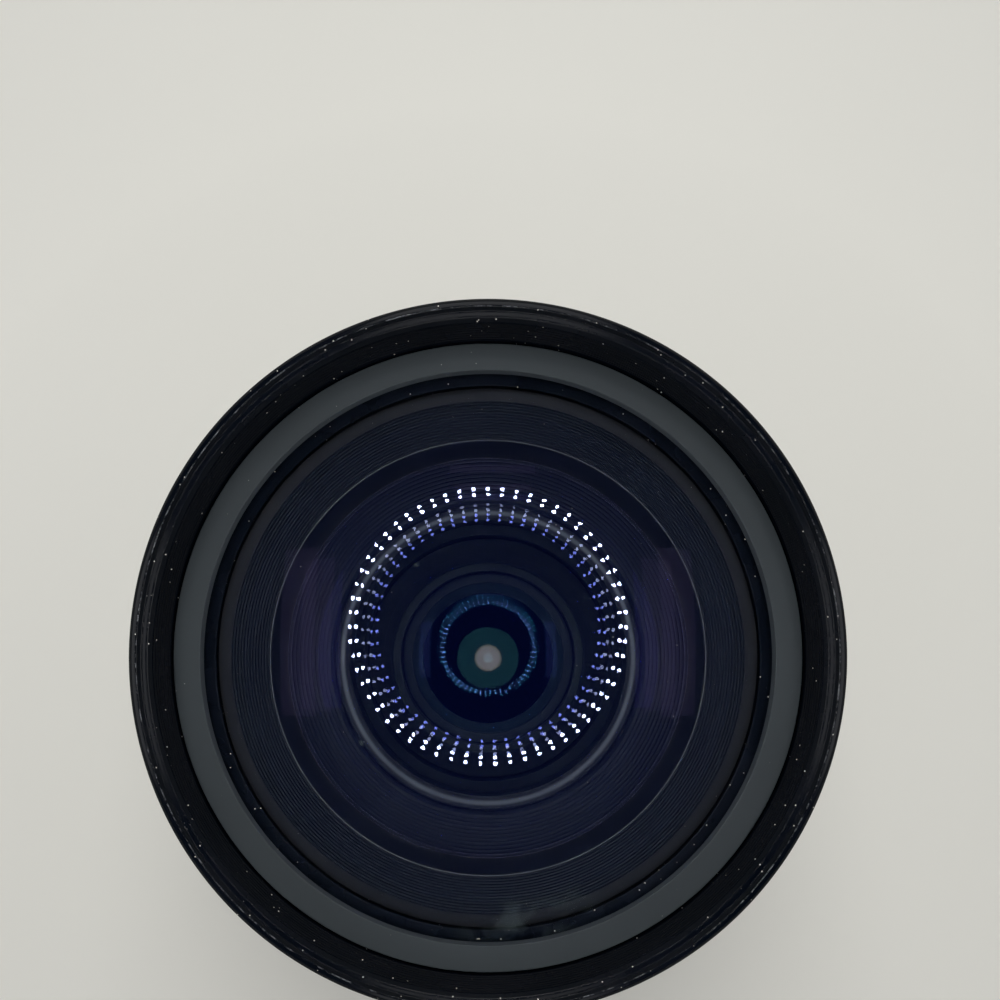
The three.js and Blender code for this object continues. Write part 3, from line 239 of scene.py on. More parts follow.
def turning_place(tree):
    """Radius and height of a point of a turned piece as a vector (radius, 0, z), for marks that run round the axis."""
    place = add_node(tree, "ShaderNodeTexCoord").outputs["Object"]
    parts = add_node(tree, "ShaderNodeSeparateXYZ", links={"Vector": place})
    flat = add_node(tree, "ShaderNodeCombineXYZ", links={"X": parts.outputs["X"], "Y": parts.outputs["Y"]})
    radius = add_node(tree, "ShaderNodeVectorMath", links={"Vector": flat.outputs["Vector"]}, operation="LENGTH")
    ring = add_node(
        tree,
        "ShaderNodeCombineXYZ",
        links={"X": radius.outputs["Value"], "Z": parts.outputs["Z"]},
    )
    return place, ring.outputs["Vector"]


def noise(tree, vector, size, detail=2.0, rough=0.5):
    """Noise whose blobs are about as wide as the given size in metres."""
    node = add_node(
        tree,
        "ShaderNodeTexNoise",
        {"Scale": 0.5 / size, "Detail": detail, "Roughness": rough},
        {"Vector": vector},
    )
    return node.outputs["Factor" if "Factor" in node.outputs else "Fac"]


def specks(tree, vector, spacing, radius):
    """Dust specks: 1 within a radius of scattered points about one spacing apart, else 0."""
    cells = add_node(
        tree,
        "ShaderNodeTexVoronoi",
        {"Scale": 1 / spacing, "Randomness": 1.0},
        {"Vector": vector},
    )
    return ramp(tree, cells.outputs["Distance"], radius / spacing, radius / spacing * 0.6, 0.0, 1.0)


def bump(tree, height, distance, strength=1.0, under=None):
    links = {"Height": height}
    if under is not None:
        links["Normal"] = under
    node = add_node(tree, "ShaderNodeBump", {"Distance": distance, "Strength": strength}, links)
    return node.outputs["Normal"]


def finish_principled(tree, values, links):
    shader = add_node(tree, "ShaderNodeBsdfPrincipled", values, links)
    add_node(tree, "ShaderNodeOutputMaterial", links={"Surface": shader.outputs["BSDF"]})
    return shader


def anodised_black():
    """Black anodised aluminium, turned and satin: fine turning marks, a soft sheen and specks of dust."""
    material, tree = material_tree("anodised_black_aluminium")
    if tree is None:
        return material
    place, ring = turning_place(tree)
    # Turning marks 0.12 mm apart run round the axis.
    marks = noise(tree, ring, 0.12 * MM, 1.0)
    # Handling wear changes the gloss over 6 mm.
    wear = noise(tree, place, 6 * MM, 4.0, 0.6)
    # Dust specks are 0.05 mm wide and lie about 1.4 mm apart.
    dust = specks(tree, place, 1.4 * MM, 0.05 * MM)
    black = linear(colours().black_metal)
    worn = tuple(channel * 1.5 for channel in black[:3]) + (1.0,)
    base = mixed(tree, ramp(tree, wear, 0.45, 0.75, 0.0, 1.0), black, worn)
    colour = mixed(tree, dust, base, linear("#8f8c86"))
    rough = ramp(tree, wear, 0.3, 0.7, 0.34, 0.5)
    normal = bump(tree, marks, 0.004 * MM, 0.6)
    finish_principled(
        tree,
        {"Metallic": 0.55, "Specular IOR Level": 0.5},
        {"Base Color": colour, "Roughness": rough, "Normal": normal},
    )
    return material


def edge_line(tree, ring, radius, height, width):
    """1 near a turned edge of the given radius and height, else 0."""
    edge = add_node(
        tree,
        "ShaderNodeVectorMath",
        {1: (radius, 0, height)},
        {0: ring},
        operation="DISTANCE",
    )
    return ramp(tree, edge.outputs["Value"], width * 0.3, width, 1.0, 0.0)


def wear_and_highlight_edge(tree, place, ring, radius, height, width):
    """1 near a turned edge of the given radius and height, broken up by noise 0.6 mm wide, else 0."""
    near = edge_line(tree, ring, radius, height, width)
    broken = ramp(tree, noise(tree, place, 0.6 * MM, 5.0, 0.7), 0.5, 0.62, 0.0, 1.0)
    worn = add_node(tree, "ShaderNodeMath", links={0: near, 1: broken}, operation="MULTIPLY")
    return worn.outputs["Value"]


def rim_black():
    """Glossy black anodising of the front rim: sharp lamp glints, a bright line on the bead's edge that is partly worn
    metal and partly a painted highlight, dust.
    """
    material, tree = material_tree("glossy_black_rim_anodising")
    if tree is None:
        return material
    place, ring = turning_place(tree)
    outer, low, top = node_box("filter_ring")
    s = sizes()
    marks = noise(tree, ring, 0.1 * MM, 1.0)
    rubbed = noise(tree, place, 5 * MM, 4.0, 0.6)
    base = mixed(tree, ramp(tree, rubbed, 0.4, 0.75, 0.0, 1.0), linear("#03060c"), linear("#080b12"))
    # The grey line on the bead's inner edge is partly worn metal and partly a painted highlight of the lamps.
    bead = wear_and_highlight_edge(tree, place, ring, outer - s.rim_bead, top, 0.1 * MM)
    metal = mixed(tree, bead, base, linear("#5c5f63"))
    # Dust specks are 0.09 mm wide and lie about 1.2 mm apart.
    colour = mixed(tree, specks(tree, place, 1.2 * MM, 0.09 * MM), metal, linear("#b5b2aa"))
    finish_principled(
        tree,
        {"Specular IOR Level": 0.1},
        {
            "Base Color": colour,
            "Roughness": ramp(tree, rubbed, 0.3, 0.7, 0.12, 0.2),
            "Normal": bump(tree, marks, 0.003 * MM, 0.5),
        },
    )
    return material


def anodised_grey():
    """Bead-blasted grey anodised aluminium: an even, almost matt grey with a fine grain."""
    material, tree = material_tree("bead_blasted_grey_aluminium")
    if tree is None:
        return material
    place, ring = turning_place(tree)
    # The blasted grain is 0.08 mm wide.
    grain = noise(tree, place, 0.08 * MM, 2.0)
    cloud = noise(tree, place, 7 * MM, 3.0)
    dust = specks(tree, place, 1.8 * MM, 0.06 * MM)
    grey = linear(colours().grey_metal)
    dark = tuple(channel * 0.82 for channel in grey[:3]) + (1.0,)
    base = mixed(tree, cloud, dark, grey)
    colour = mixed(tree, dust, base, linear("#9a9892"))
    finish_principled(
        tree,
        {"Roughness": 0.62, "Specular IOR Level": 0.2},
        {"Base Color": colour, "Normal": bump(tree, grain, 0.01 * MM, 0.5)},
    )
    return material


def flocked_black():
    """Matt black paint inside the lens: soaks up light, with a faint grain."""
    material, tree = material_tree("matt_black_lens_paint")
    if tree is None:
        return material
    place, ring = turning_place(tree)
    grain = noise(tree, place, 0.1 * MM, 2.0)
    marks = noise(tree, ring, 0.2 * MM, 1.0)
    black = linear(colours().inner_black)
    pale = tuple(channel * 1.4 for channel in black[:3]) + (1.0,)
    colour = mixed(tree, marks, black, pale)
    finish_principled(
        tree,
        {"Roughness": 0.6, "Specular IOR Level": 0.06},
        {"Base Color": colour, "Normal": bump(tree, grain, 0.008 * MM, 0.5)},
    )
    return material


def ridged_black():
    """Satin black anodising of the light baffle, whose ridges catch thin lines of light, with painted highlight lines
    on its lip and on the third glass's ring.
    """
    material, tree = material_tree("satin_black_baffle")
    if tree is None:
        return material
    place, ring = turning_place(tree)
    s = sizes()
    rim, low, top = node_box("ridged_baffle")
    third, _, third_top = node_box("third_retaining_ring")
    # The baffle's lip and a line on the third glass's ring carry dull grey painted highlight lines.
    lip = edge_line(tree, ring, rim - s.baffle_rim - s.baffle_width, low + s.baffle_sleeve, 0.2 * MM)
    line = edge_line(tree, ring, third - 0.9 * MM, third_top, 0.4 * MM)
    line_highlight = mixed(tree, line, linear("#070c15"), linear("#343940"))
    base = mixed(tree, lip, line_highlight, linear("#565b62"))
    # The rim's flat face carries a faint painted sheen beside the cone and is black paint outside that.
    face = edge_line(tree, ring, rim - s.baffle_rim + 0.4 * MM, top, 0.5 * MM)
    banded = mixed(tree, face, base, linear("#080b12"))
    outside = edge_line(tree, ring, rim, top, 0.8 * MM)
    painted = mixed(tree, outside, banded, linear("#020306"))
    colour = mixed(tree, specks(tree, place, 2.2 * MM, 0.05 * MM), painted, linear("#8d8b86"))
    finish_principled(tree, {"Roughness": 0.5, "Specular IOR Level": 0.05}, {"Base Color": colour})
    return material


def moulded_rubber():
    """Moulded grip rubber: deep black, matt, with a fine moulded grain and patches of grey dust."""
    material, tree = material_tree("moulded_grip_rubber")
    if tree is None:
        return material
    place, ring = turning_place(tree)
    grain = noise(tree, place, 0.15 * MM, 3.0, 0.6)
    haze = noise(tree, place, 5 * MM, 4.0, 0.6)
    colour = mixed(tree, ramp(tree, haze, 0.35, 0.75, 0.0, 1.0), linear(colours().rubber), linear("#2b2a29"))
    rough = ramp(tree, haze, 0.3, 0.7, 0.62, 0.78)
    finish_principled(
        tree,
        {"Specular IOR Level": 0.35, "Sheen Weight": 0.08},
        {"Base Color": colour, "Roughness": rough, "Normal": bump(tree, grain, 0.03 * MM, 0.6)},
    )
    return material


def plated_chrome():
    """Chrome plate over turned brass: bright, with concentric turning marks and hairline wear."""
    material, tree = material_tree("turned_chrome_plate")
    if tree is None:
        return material
    place, ring = turning_place(tree)
    marks = noise(tree, ring, 0.1 * MM, 2.0)
    wear = noise(tree, place, 4 * MM, 4.0, 0.65)
    colour = mixed(tree, wear, linear("#b9bbbd"), linear("#d6d7d8"))
    rough = ramp(tree, wear, 0.3, 0.7, 0.16, 0.3)
    finish_principled(
        tree,
        {"Metallic": 1.0},
        {"Base Color": colour, "Roughness": rough, "Normal": bump(tree, marks, 0.003 * MM, 0.7)},
    )
    return material


def bare_metal(name, dark, light, rough):
    """Turned bare metal of the working pieces: fine marks round the axis and slightly uneven gloss."""
    material, tree = material_tree(name)
    if tree is None:
        return material
    place, ring = turning_place(tree)
    marks = noise(tree, ring, 0.15 * MM, 2.0)
    wear = noise(tree, place, 3 * MM, 3.0)
    finish_principled(
        tree,
        {"Metallic": 1.0},
        {
            "Base Color": mixed(tree, wear, linear(dark), linear(light)),
            "Roughness": ramp(tree, wear, 0.3, 0.7, rough, rough + 0.15),
            "Normal": bump(tree, marks, 0.004 * MM, 0.5),
        },
    )
    return material


def steel():
    return bare_metal("turned_steel", "#7d8084", "#a3a6aa", 0.25)


def brass():
    return bare_metal("turned_brass", "#8d6f3a", "#b89550", 0.28)


def aluminium():
    return bare_metal("turned_aluminium", "#85888b", "#a9acaf", 0.32)


def blade_black():
    """Iris blades: thin spring steel with a dull black oxide, slightly brown in patches."""
    material, tree = material_tree("black_oxide_blade_steel")
    if tree is None:
        return material
    place, ring = turning_place(tree)
    cloud = noise(tree, place, 2 * MM, 3.0)
    finish_principled(
        tree,
        {"Metallic": 0.7, "Roughness": 0.45},
        {"Base Color": mixed(tree, cloud, linear("#131314"), linear("#1f1e1d"))},
    )
    return material


def enamel(name, code):
    """Enamel rubbed into engraved numbers: plain, even and slightly glossy, with worn patches."""
    material, tree = material_tree(name)
    if tree is None:
        return material
    place, ring = turning_place(tree)
    worn = noise(tree, place, 0.8 * MM, 3.0)
    paint = linear(code)
    dull = tuple(channel * 0.75 for channel in paint[:3]) + (1.0,)
    colour = mixed(tree, ramp(tree, worn, 0.5, 0.8, 0.0, 1.0), paint, dull)
    finish_principled(tree, {"Roughness": 0.4}, {"Base Color": colour})
    return material


def smeared(tree, surface):
    """A shader with a faint greasy smear 14 mm long near the front glass's edge, and a few larger specks."""
    place, ring = turning_place(tree)
    middle = add_node(
        tree,
        "ShaderNodeVectorMath",
        {1: (4.5 * MM, -29.6 * MM, node_box("front_element")[2])},
        {0: place},
        operation="DISTANCE",
    )
    near = ramp(tree, middle.outputs["Value"], 4 * MM, 10 * MM, 1.0, 0.0)
    band = edge_line(tree, ring, 30.2 * MM, node_box("front_element")[2] - 2.5 * MM, 3.6 * MM)
    patches = ramp(tree, noise(tree, place, 2.2 * MM, 4.0, 0.6), 0.46, 0.62, 0.0, 0.14)
    amount = add_node(tree, "ShaderNodeMath", links={0: near, 1: band}, operation="MULTIPLY").outputs["Value"]
    amount = add_node(tree, "ShaderNodeMath", links={0: amount, 1: patches}, operation="MULTIPLY").outputs["Value"]
    grains = ramp(tree, specks(tree, place, 13 * MM, 0.45 * MM), 0.0, 1.0, 0.0, 0.12)
    amount = add_node(tree, "ShaderNodeMath", links={0: amount, 1: grains}, operation="MAXIMUM").outputs["Value"]
    grease = add_node(tree, "ShaderNodeBsdfDiffuse", {"Color": linear("#93a9ae")})
    return add_node(
        tree,
        "ShaderNodeMixShader",
        links={0: amount, 1: surface, 2: grease.outputs["BSDF"]},
    ).outputs["Shader"]


def coated_glass(name, tint, index, body="#ffffff", dust=0.0):
    """Optical glass with an anti-reflection coating: clear, with coloured reflections, and clear to lamp light.

    The coating's colour is the specular tint. Specks of dust lie on it where dust is above nought.
    """
    material, tree = material_tree(name)
    if tree is None:
        return material
    shader = add_node(
        tree,
        "ShaderNodeBsdfPrincipled",
        {
            "Base Color": linear(body),
            "Roughness": 0.0,
            "IOR": index,
            "Transmission Weight": 1.0,
            "Specular Tint": linear(tint),
        },
    )
    clear = add_node(tree, "ShaderNodeBsdfTransparent", {"Color": linear(body)})
    ray = add_node(tree, "ShaderNodeLightPath")
    surface = add_node(
        tree,
        "ShaderNodeMixShader",
        links={0: ray.outputs["Is Shadow Ray"], 1: shader.outputs["BSDF"], 2: clear.outputs["BSDF"]},
    ).outputs["Shader"]
    if dust:
        place = add_node(tree, "ShaderNodeTexCoord").outputs["Object"]
        fibres = add_node(tree, "ShaderNodeBsdfDiffuse", {"Color": linear("#b8b6b0")})
        amount = add_node(
            tree,
            "ShaderNodeMath",
            {1: dust},
            {0: specks(tree, place, 2.6 * MM, 0.07 * MM)},
            operation="MULTIPLY",
        )
        surface = add_node(
            tree,
            "ShaderNodeMixShader",
            links={0: amount.outputs["Value"], 1: surface, 2: fibres.outputs["BSDF"]},
        ).outputs["Shader"]
        surface = smeared(tree, surface)
    add_node(tree, "ShaderNodeOutputMaterial", links={"Surface": surface})
    return material


def front_glass():
    return coated_glass("coated_crown_glass", "#b4c0ff", 1.52, dust=0.5)


def second_glass():
    return coated_glass("violet_blue_coated_glass", "#7484ff", 1.75, body="#f2f4ff")


def inner_glass():
    return coated_glass("blue_coated_glass", "#3f66ff", 1.6, body="#e9edff")


def violet_glass():
    return coated_glass("violet_coated_glass", "#8f7bff", 1.6, body="#eef0ff")


def teal_glass():
    return coated_glass("teal_coated_glass", "#479cf4", 1.6, body="#eefaff")


SLOT_FINISHES = {
    "chrome": plated_chrome,
    "steel": steel,
    "inner_black": flocked_black,
    "black_metal": anodised_black,
    "grey_metal": anodised_grey,
    "aluminium": aluminium,
    "brass": brass,
    "rubber": moulded_rubber,
    "glass": inner_glass,
    "blade_black": blade_black,
}


# Surfaces


def around(count, first=0.0):
    """Evenly spaced angles round the axis, in radians."""
    return first + np.arange(count) * TURN / count


def rounded(profile, reach, steps=4):
    """Rounds the corners of a closed profile.

    Each corner becomes a curve of second degree between points one reach away on its two sides, and a support
    point at one and a half reaches on each side keeps the flat stretches flat. Further columns, such as a share
    of a rib, are carried along in the same way.
    """
    points = np.asarray(profile, float)
    before = np.roll(points, 1, axis=0) - points
    after = np.roll(points, -1, axis=0) - points
    back = np.hypot(before[:, 0], before[:, 1])[:, None]
    ahead = np.hypot(after[:, 0], after[:, 1])[:, None]
    cut = np.minimum(reach, 0.3 * np.minimum(back, ahead))
    start, end = points + before / back * cut, points + after / ahead * cut
    share = np.linspace(0, 1, steps + 1)[None, :, None]
    corner = points[:, None]
    curve = (1 - share) ** 2 * start[:, None] + 2 * share * (1 - share) * corner + share**2 * end[:, None]
    first = (points + before / back * cut * 1.5)[:, None]
    last = (points + after / ahead * cut * 1.5)[:, None]
    return np.concatenate([first, curve, last], axis=1).reshape(-1, points.shape[1])


def turned(profile, angles, swell=None):
    """Grid of points of a profile of (radius, z) turned through the angles.

    swell gives for each angle and profile point how much the radius grows.
    """
    radius = np.broadcast_to(profile[None, :, 0], (len(angles), len(profile)))
    if swell is not None:
        radius = radius + swell
    height = np.broadcast_to(profile[None, :, 1], radius.shape)
    return np.stack([radius * np.cos(angles)[:, None], radius * np.sin(angles)[:, None], height], axis=-1)


def grid_faces(rows, columns, closed_columns=True):
    """Four-sided faces of a grid that closes on itself over the rows, and over the columns where asked."""
    row = np.arange(rows)[:, None]
    column = np.arange(columns if closed_columns else columns - 1)[None, :]
    next_row, next_column = (row + 1) % rows, (column + 1) % columns
    corners = [
        row * columns + column,
        next_row * columns + column,
        next_row * columns + next_column,
        row * columns + next_column,
    ]
    return np.stack(np.broadcast_arrays(*corners), axis=-1).reshape(-1, 4)


def capped(grid):
    """Points and face groups of a turned grid whose first and last columns lie on the axis, one point at each pole."""
    rows, columns = grid.shape[:2]
    inside = columns - 2
    points = np.concatenate([grid[:, 1:-1].reshape(-1, 3), [grid[0, 0], grid[0, -1]]])
    here = np.arange(rows) * inside
    ahead = np.roll(here, -1)
    first_pole = np.full(rows, rows * inside)
    caps = np.concatenate(
        [
            np.stack([first_pole, ahead, here], axis=1),
            np.stack([first_pole + 1, here + inside - 1, ahead + inside - 1], axis=1),
        ]
    )
    return points, [grid_faces(rows, inside, closed_columns=False), caps]


def signed_volume(points, groups):
    """Volume inside the faces, from the triangles of each face and the origin. It is negative where they face in."""
    total = 0.0
    for faces in groups:
        for second in range(1, faces.shape[1] - 1):
            a, b, c = points[faces[:, 0]], points[faces[:, second]], points[faces[:, second + 1]]
            total += np.einsum("ij,ij->", a, np.cross(b, c)) / 6
    return total


def make_mesh(name, points, groups):
    """A smooth mesh that faces out. Each group is an array of faces with the same number of corners."""
    points = np.asarray(points, float).reshape(-1, 3)
    if signed_volume(points, groups) < 0:
        groups = [faces[:, ::-1] for faces in groups]
    mesh = bpy.data.meshes.new(name)
    mesh.from_pydata(points.tolist(), [], [tuple(face) for faces in groups for face in faces.tolist()])
    mesh.polygons.foreach_set("use_smooth", np.full(len(mesh.polygons), True))
    mesh.validate()
    return mesh


def put_piece(name, mesh, body, material, replaces=()):
    """Makes an object from a mesh, gives it its material, ties it to its body and hides the nodes it replaces."""
    piece = bpy.data.objects.new(name, mesh)
    bpy.context.scene.collection.objects.link(piece)
    mesh.materials.append(material)
    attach(piece, body)
    if replaces:
        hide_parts(*replaces)
    return piece


def turned_piece(name, profile, body, material, replaces=(), facets=256, reach=None, swell=None):
    """A closed turned piece with rounded edges. swell(angles, profile) gives the growth of the radius."""
    smoothed = rounded(profile, sizes().edge if reach is None else reach)
    angles = around(facets)
    grown = None if swell is None else swell(angles, smoothed)
    grid = turned(smoothed, angles, grown)
    mesh = make_mesh(name, grid, [grid_faces(*grid.shape[:2])])
    return put_piece(name, mesh, body, material, replaces)


def drum(base, axis, radius, depth, sides=40):
    """Points and face groups of a plain drum from the middle of its base along its axis."""
    base, axis = np.asarray(base, float), np.asarray(axis, float)
    across = np.cross(axis, (0, 0, 1) if abs(axis[2]) < 0.9 else (1, 0, 0))
    across /= np.linalg.norm(across)
    up = np.cross(axis, across)
    turn = around(sides)[:, None]
    rim = base + radius * (np.cos(turn) * across + np.sin(turn) * up)
    points = np.concatenate([rim, rim + depth * axis])
    here, ahead = np.arange(sides), np.roll(np.arange(sides), -1)
    walls = np.stack([here, ahead, ahead + sides, here + sides], axis=1)
    return points, [walls, here[None, ::-1], here[None] + sides]


def block(middle, size, turn=0.0):
    """Points and face groups of a box with its middle, its size and its turn about Z."""
    corners = np.array([(x, y, z) for z in (-1, 1) for x, y in ((-1, -1), (1, -1), (1, 1), (-1, 1))]) / 2
    corners = corners * size
    cos, sin = math.cos(turn), math.sin(turn)
    points = corners @ np.array([[cos, sin, 0], [-sin, cos, 0], [0, 0, 1]]) + middle
    sides = [(0, 1, 5, 4), (1, 2, 6, 5), (2, 3, 7, 6), (3, 0, 4, 7)]
    return points, [np.array([(3, 2, 1, 0), (4, 5, 6, 7), *sides])]


def carved(piece, cutters, operation="DIFFERENCE"):
    """Cuts the cutters out of a piece, or joins them to it, and keeps the edges over 35 degrees sharp."""
    for points, groups in cutters:
        tool = bpy.data.objects.new("carving_tool", make_mesh("carving_tool", points, groups))
        bpy.context.scene.collection.objects.link(tool)
        cut = piece.modifiers.new("cut", "BOOLEAN")
        cut.operation = operation
        cut.solver = "EXACT"
        cut.object = tool
        bpy.context.view_layer.update()
        seen = piece.evaluated_get(bpy.context.evaluated_depsgraph_get())
        made = bpy.data.meshes.new_from_object(seen)
        piece.modifiers.clear()
        piece.data = made
        bpy.data.meshes.remove(tool.data)
    made.name = piece.name
    made.polygons.foreach_set("use_smooth", np.full(len(made.polygons), True))
    made.set_sharp_from_angle(angle=35 * DEGREE)
    return piece


# Front rings


def sawtooth(turns):
    """A symmetric triangle wave of period 1 between 0 and 1."""
    return np.abs((turns % 1.0) * 2 - 1)


class LENS_OT_filter_ring(bpy.types.Operator):
    """Front rim with its filter thread, bead, chamfers and shadow groove"""

    bl_idname = "lens.filter_ring"
    bl_label = "Filter ring"

    def execute(self, context):
        s = sizes()
        outer, low, top = node_box("filter_ring")
        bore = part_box("ridged_baffle")[1].x + s.grip_seat
        floor_top = low + s.floor_thickness
        thread_top = top - s.rim_step - s.thread_lead
        thread_low = top - s.thread_low + 0.3 * MM
        bead = outer - s.rim_bead
        waist = low + s.waist_low
        thread_rows = np.linspace(thread_top, thread_low, 120)[1:-1]
        thread = [(s.thread_radius, height, 1.0) for height in thread_rows]
        profile = np.array(
            [
                (bore, low, 0),
                (outer, low, 0),
                (outer, waist, 0),
                (outer - s.waist_depth, waist + s.waist_depth, 0),
                (outer - s.waist_depth, waist + s.waist_width, 0),
                (outer, waist + s.waist_width + s.waist_depth, 0),
                (outer, top - s.rim_chamfer, 0),
                (outer - s.rim_chamfer, top - s.rim_slope, 0),
                (bead, top, 0),
                (bead - s.rim_step, top - s.rim_step - s.rim_slope, 0),
                (s.thread_radius + s.thread_lead, top - s.rim_step, 0),
                (s.thread_radius, thread_top, 0),
                (s.thread_radius, thread_low, 0),
                (s.seat_radius, thread_low, 0),
                (s.seat_radius, floor_top, 0),
                (bore, floor_top, 0),
            ]
        )
        smoothed = rounded(profile, s.edge)
        wall = np.isclose(smoothed[:, 0], s.thread_radius, atol=1e-6)
        first, last = np.flatnonzero(wall)[[0, -1]]
        smoothed = np.concatenate([smoothed[: first + 1], np.array(thread), smoothed[last:]])
        angles = around(288)
        turns = smoothed[None, :, 1] / s.thread_pitch - angles[:, None] / TURN
        swell = s.thread_depth * sawtooth(turns) * smoothed[None, :, 2]
        grid = turned(smoothed, angles, swell)
        put_piece(
            "front_rim",
            make_mesh("front_rim", grid, [grid_faces(*grid.shape[:2])]),
            "front_group",
            rim_black(),
            ["filter_ring"],
        )
        return {"FINISHED"}


class LENS_OT_retaining_ring(bpy.types.Operator):
    """Grey ring that holds the front glass"""

    bl_idname = "lens.retaining_ring"
    bl_label = "Retaining ring"

    def execute(self, context):
        s = sizes()
        outer, low, top = node_box("front_retaining_ring")
        inner = outer - s.retaining_width
        profile = [(inner, low), (outer, low), (outer, top), (inner, top)]
        turned_piece(
            "grey_retaining_ring",
            profile,
            "front_group",
            anodised_grey(),
            ["front_retaining_ring"],
        )
        return {"FINISHED"}


class LENS_OT_baffle(bpy.types.Operator):
    """Light baffle whose cone steps down to a thin lip in fine ridges"""

    bl_idname = "lens.baffle"
    bl_label = "Ridged baffle"

    ridge_count: bpy.props.IntProperty(name="Ridges", description="Number of ridges on the cone", default=13)

    def execute(self, context):
        s = sizes()
        rim_outer, low, top = node_box("ridged_baffle")
        mouth = rim_outer - s.baffle_rim
        inner = mouth - s.baffle_width
        outer = inner + s.baffle_wall
        lip = low + s.baffle_sleeve
        cone_top = lip + s.baffle_cone
        share = np.repeat(1 - np.arange(self.ridge_count) / self.ridge_count, 2)
        step = np.tile([0.0, 1.0], self.ridge_count)
        ridges = np.stack(
            [inner + s.baffle_width * share - s.ridge_depth * step, lip + s.baffle_cone * share],
            axis=1,
        )
        profile = np.concatenate(
            [
                [(inner, low), (outer, low), (outer, lip), (outer + s.baffle_width, cone_top)],
                [(rim_outer, cone_top), (rim_outer, top), (mouth, top)],
                ridges,
                [(inner, lip)],
            ]
        )
        turned_piece(
            "light_baffle",
            profile,
            "front_group",
            ridged_black(),
            ["ridged_baffle"],
            reach=0.05 * MM,
        )
        return {"FINISHED"}


class LENS_OT_inner_cells(bpy.types.Operator):
    """Ridged inner cell, the rings that hold the inner glasses, and the relay cell"""

    bl_idname = "lens.inner_cells"
    bl_label = "Inner cells"

    flange_ridges: bpy.props.IntProperty(name="Flange ridges", description="Ridges on the inner cell", default=12)
    flange_thickness: length("Flange thickness", "Thickness of the inner cell's flange", 1.4)
    ridge_depth: length("Ridge depth", "Depth of the inner cell's ridges", 0.12)
    bore_chamfer: length("Bore chamfer", "Bevel at the mouth of the inner cell's bore", 0.45)
    wall: length("Wall", "Wall of the inner cell", 1.5)
    lip: length("Lip", "Height of the lip under the third glass", 1.2)
    lip_width: length("Lip width", "Width of the lip under the third glass", 1.0)
    third_width: length("Third ring width", "Width of the third glass's retaining ring", 1.6)
    relay_flange: length("Relay flange", "Thickness of the relay cell's flange", 1.6)
    relay_floor: length("Relay floor", "Thickness of the relay cell's floor", 0.8)
    relay_wall: length("Relay wall", "Wall of the relay cell's tube", 1.2)
    relay_ring_width: length("Relay ring width", "Width of the fourth glass's retaining ring", 1.3)
    pilot_width: length("Pilot width", "Wall of the relay cell's pilot", 0.6)
    pilot_bore: length("Pilot bore", "Radius inside the relay cell's pilot", 8.9)

    def execute(self, context):
        gap = sizes().grip_seat
        third, _, _ = node_box("third_element")
        outer, low, top = node_box("inner_cell")
        bore = third + gap
        tube = bore + self.wall
        flange = top - self.flange_thickness
        bevel = bore + self.bore_chamfer
        share = np.repeat((np.arange(self.flange_ridges) + 0.5) / self.flange_ridges, 3)
        share = share + np.tile([-0.25, 0.0, 0.25], self.flange_ridges) / self.flange_ridges
        ridge_r = outer + (bevel + gap - outer) * share
        ridge_z = top - np.tile([0.0, self.ridge_depth, 0.0], self.flange_ridges)
        profile = np.concatenate(
            [
                [(third - self.lip_width, low), (tube, low), (tube, flange), (outer, flange), (outer, top)],
                np.stack([ridge_r, ridge_z], axis=1),
                [(bevel, top), (bore, top - self.bore_chamfer), (bore, low + self.lip)],
                [(third - self.lip_width, low + self.lip)],
            ]
        )
        turned_piece(
            "inner_cell_body",
            profile,
            "front_group",
            ridged_black(),
            ["inner_cell"],
            reach=0.05 * MM,
        )
        for name, node, width, body, finish in (
            ("third_ring", "third_retaining_ring", self.third_width, "front_group", ridged_black),
            ("relay_ring", "relay_retaining_ring", self.relay_ring_width, "rear_group", flocked_black),
        ):
            ring, low, top = node_box(node)
            turned_piece(
                name,
                [(ring - width, low), (ring, low), (ring, top), (ring - width, top)],
                body,
                finish(),
                [node],
            )
        outer, low, top = node_box("relay_cell")
        fourth, _, _ = node_box("fourth_element")
        ring_low = node_box("iris_ring")[2] + 0.4 * MM
        pilot = self.pilot_bore + self.pilot_width
        profile = [
            (self.pilot_bore, low),
            (pilot, low),
            (pilot, ring_low),
            (outer, ring_low),
            (outer, ring_low + self.relay_flange),
            (fourth + gap + self.relay_wall, ring_low + self.relay_flange),
            (fourth + gap + self.relay_wall, top),
            (fourth + gap, top),
            (fourth + gap, ring_low + self.relay_floor),
            (self.pilot_bore, ring_low + self.relay_floor),
        ]
        turned_piece(
            "relay_cell_body", profile, "rear_group", flocked_black(), ["relay_cell"]
        )
        return {"FINISHED"}


# Glass


def sag(curve, radius):
    """Depth of a sphere of the given radius of curvature at a distance from its vertex's axis."""
    return curve - np.sqrt(curve**2 - radius**2)


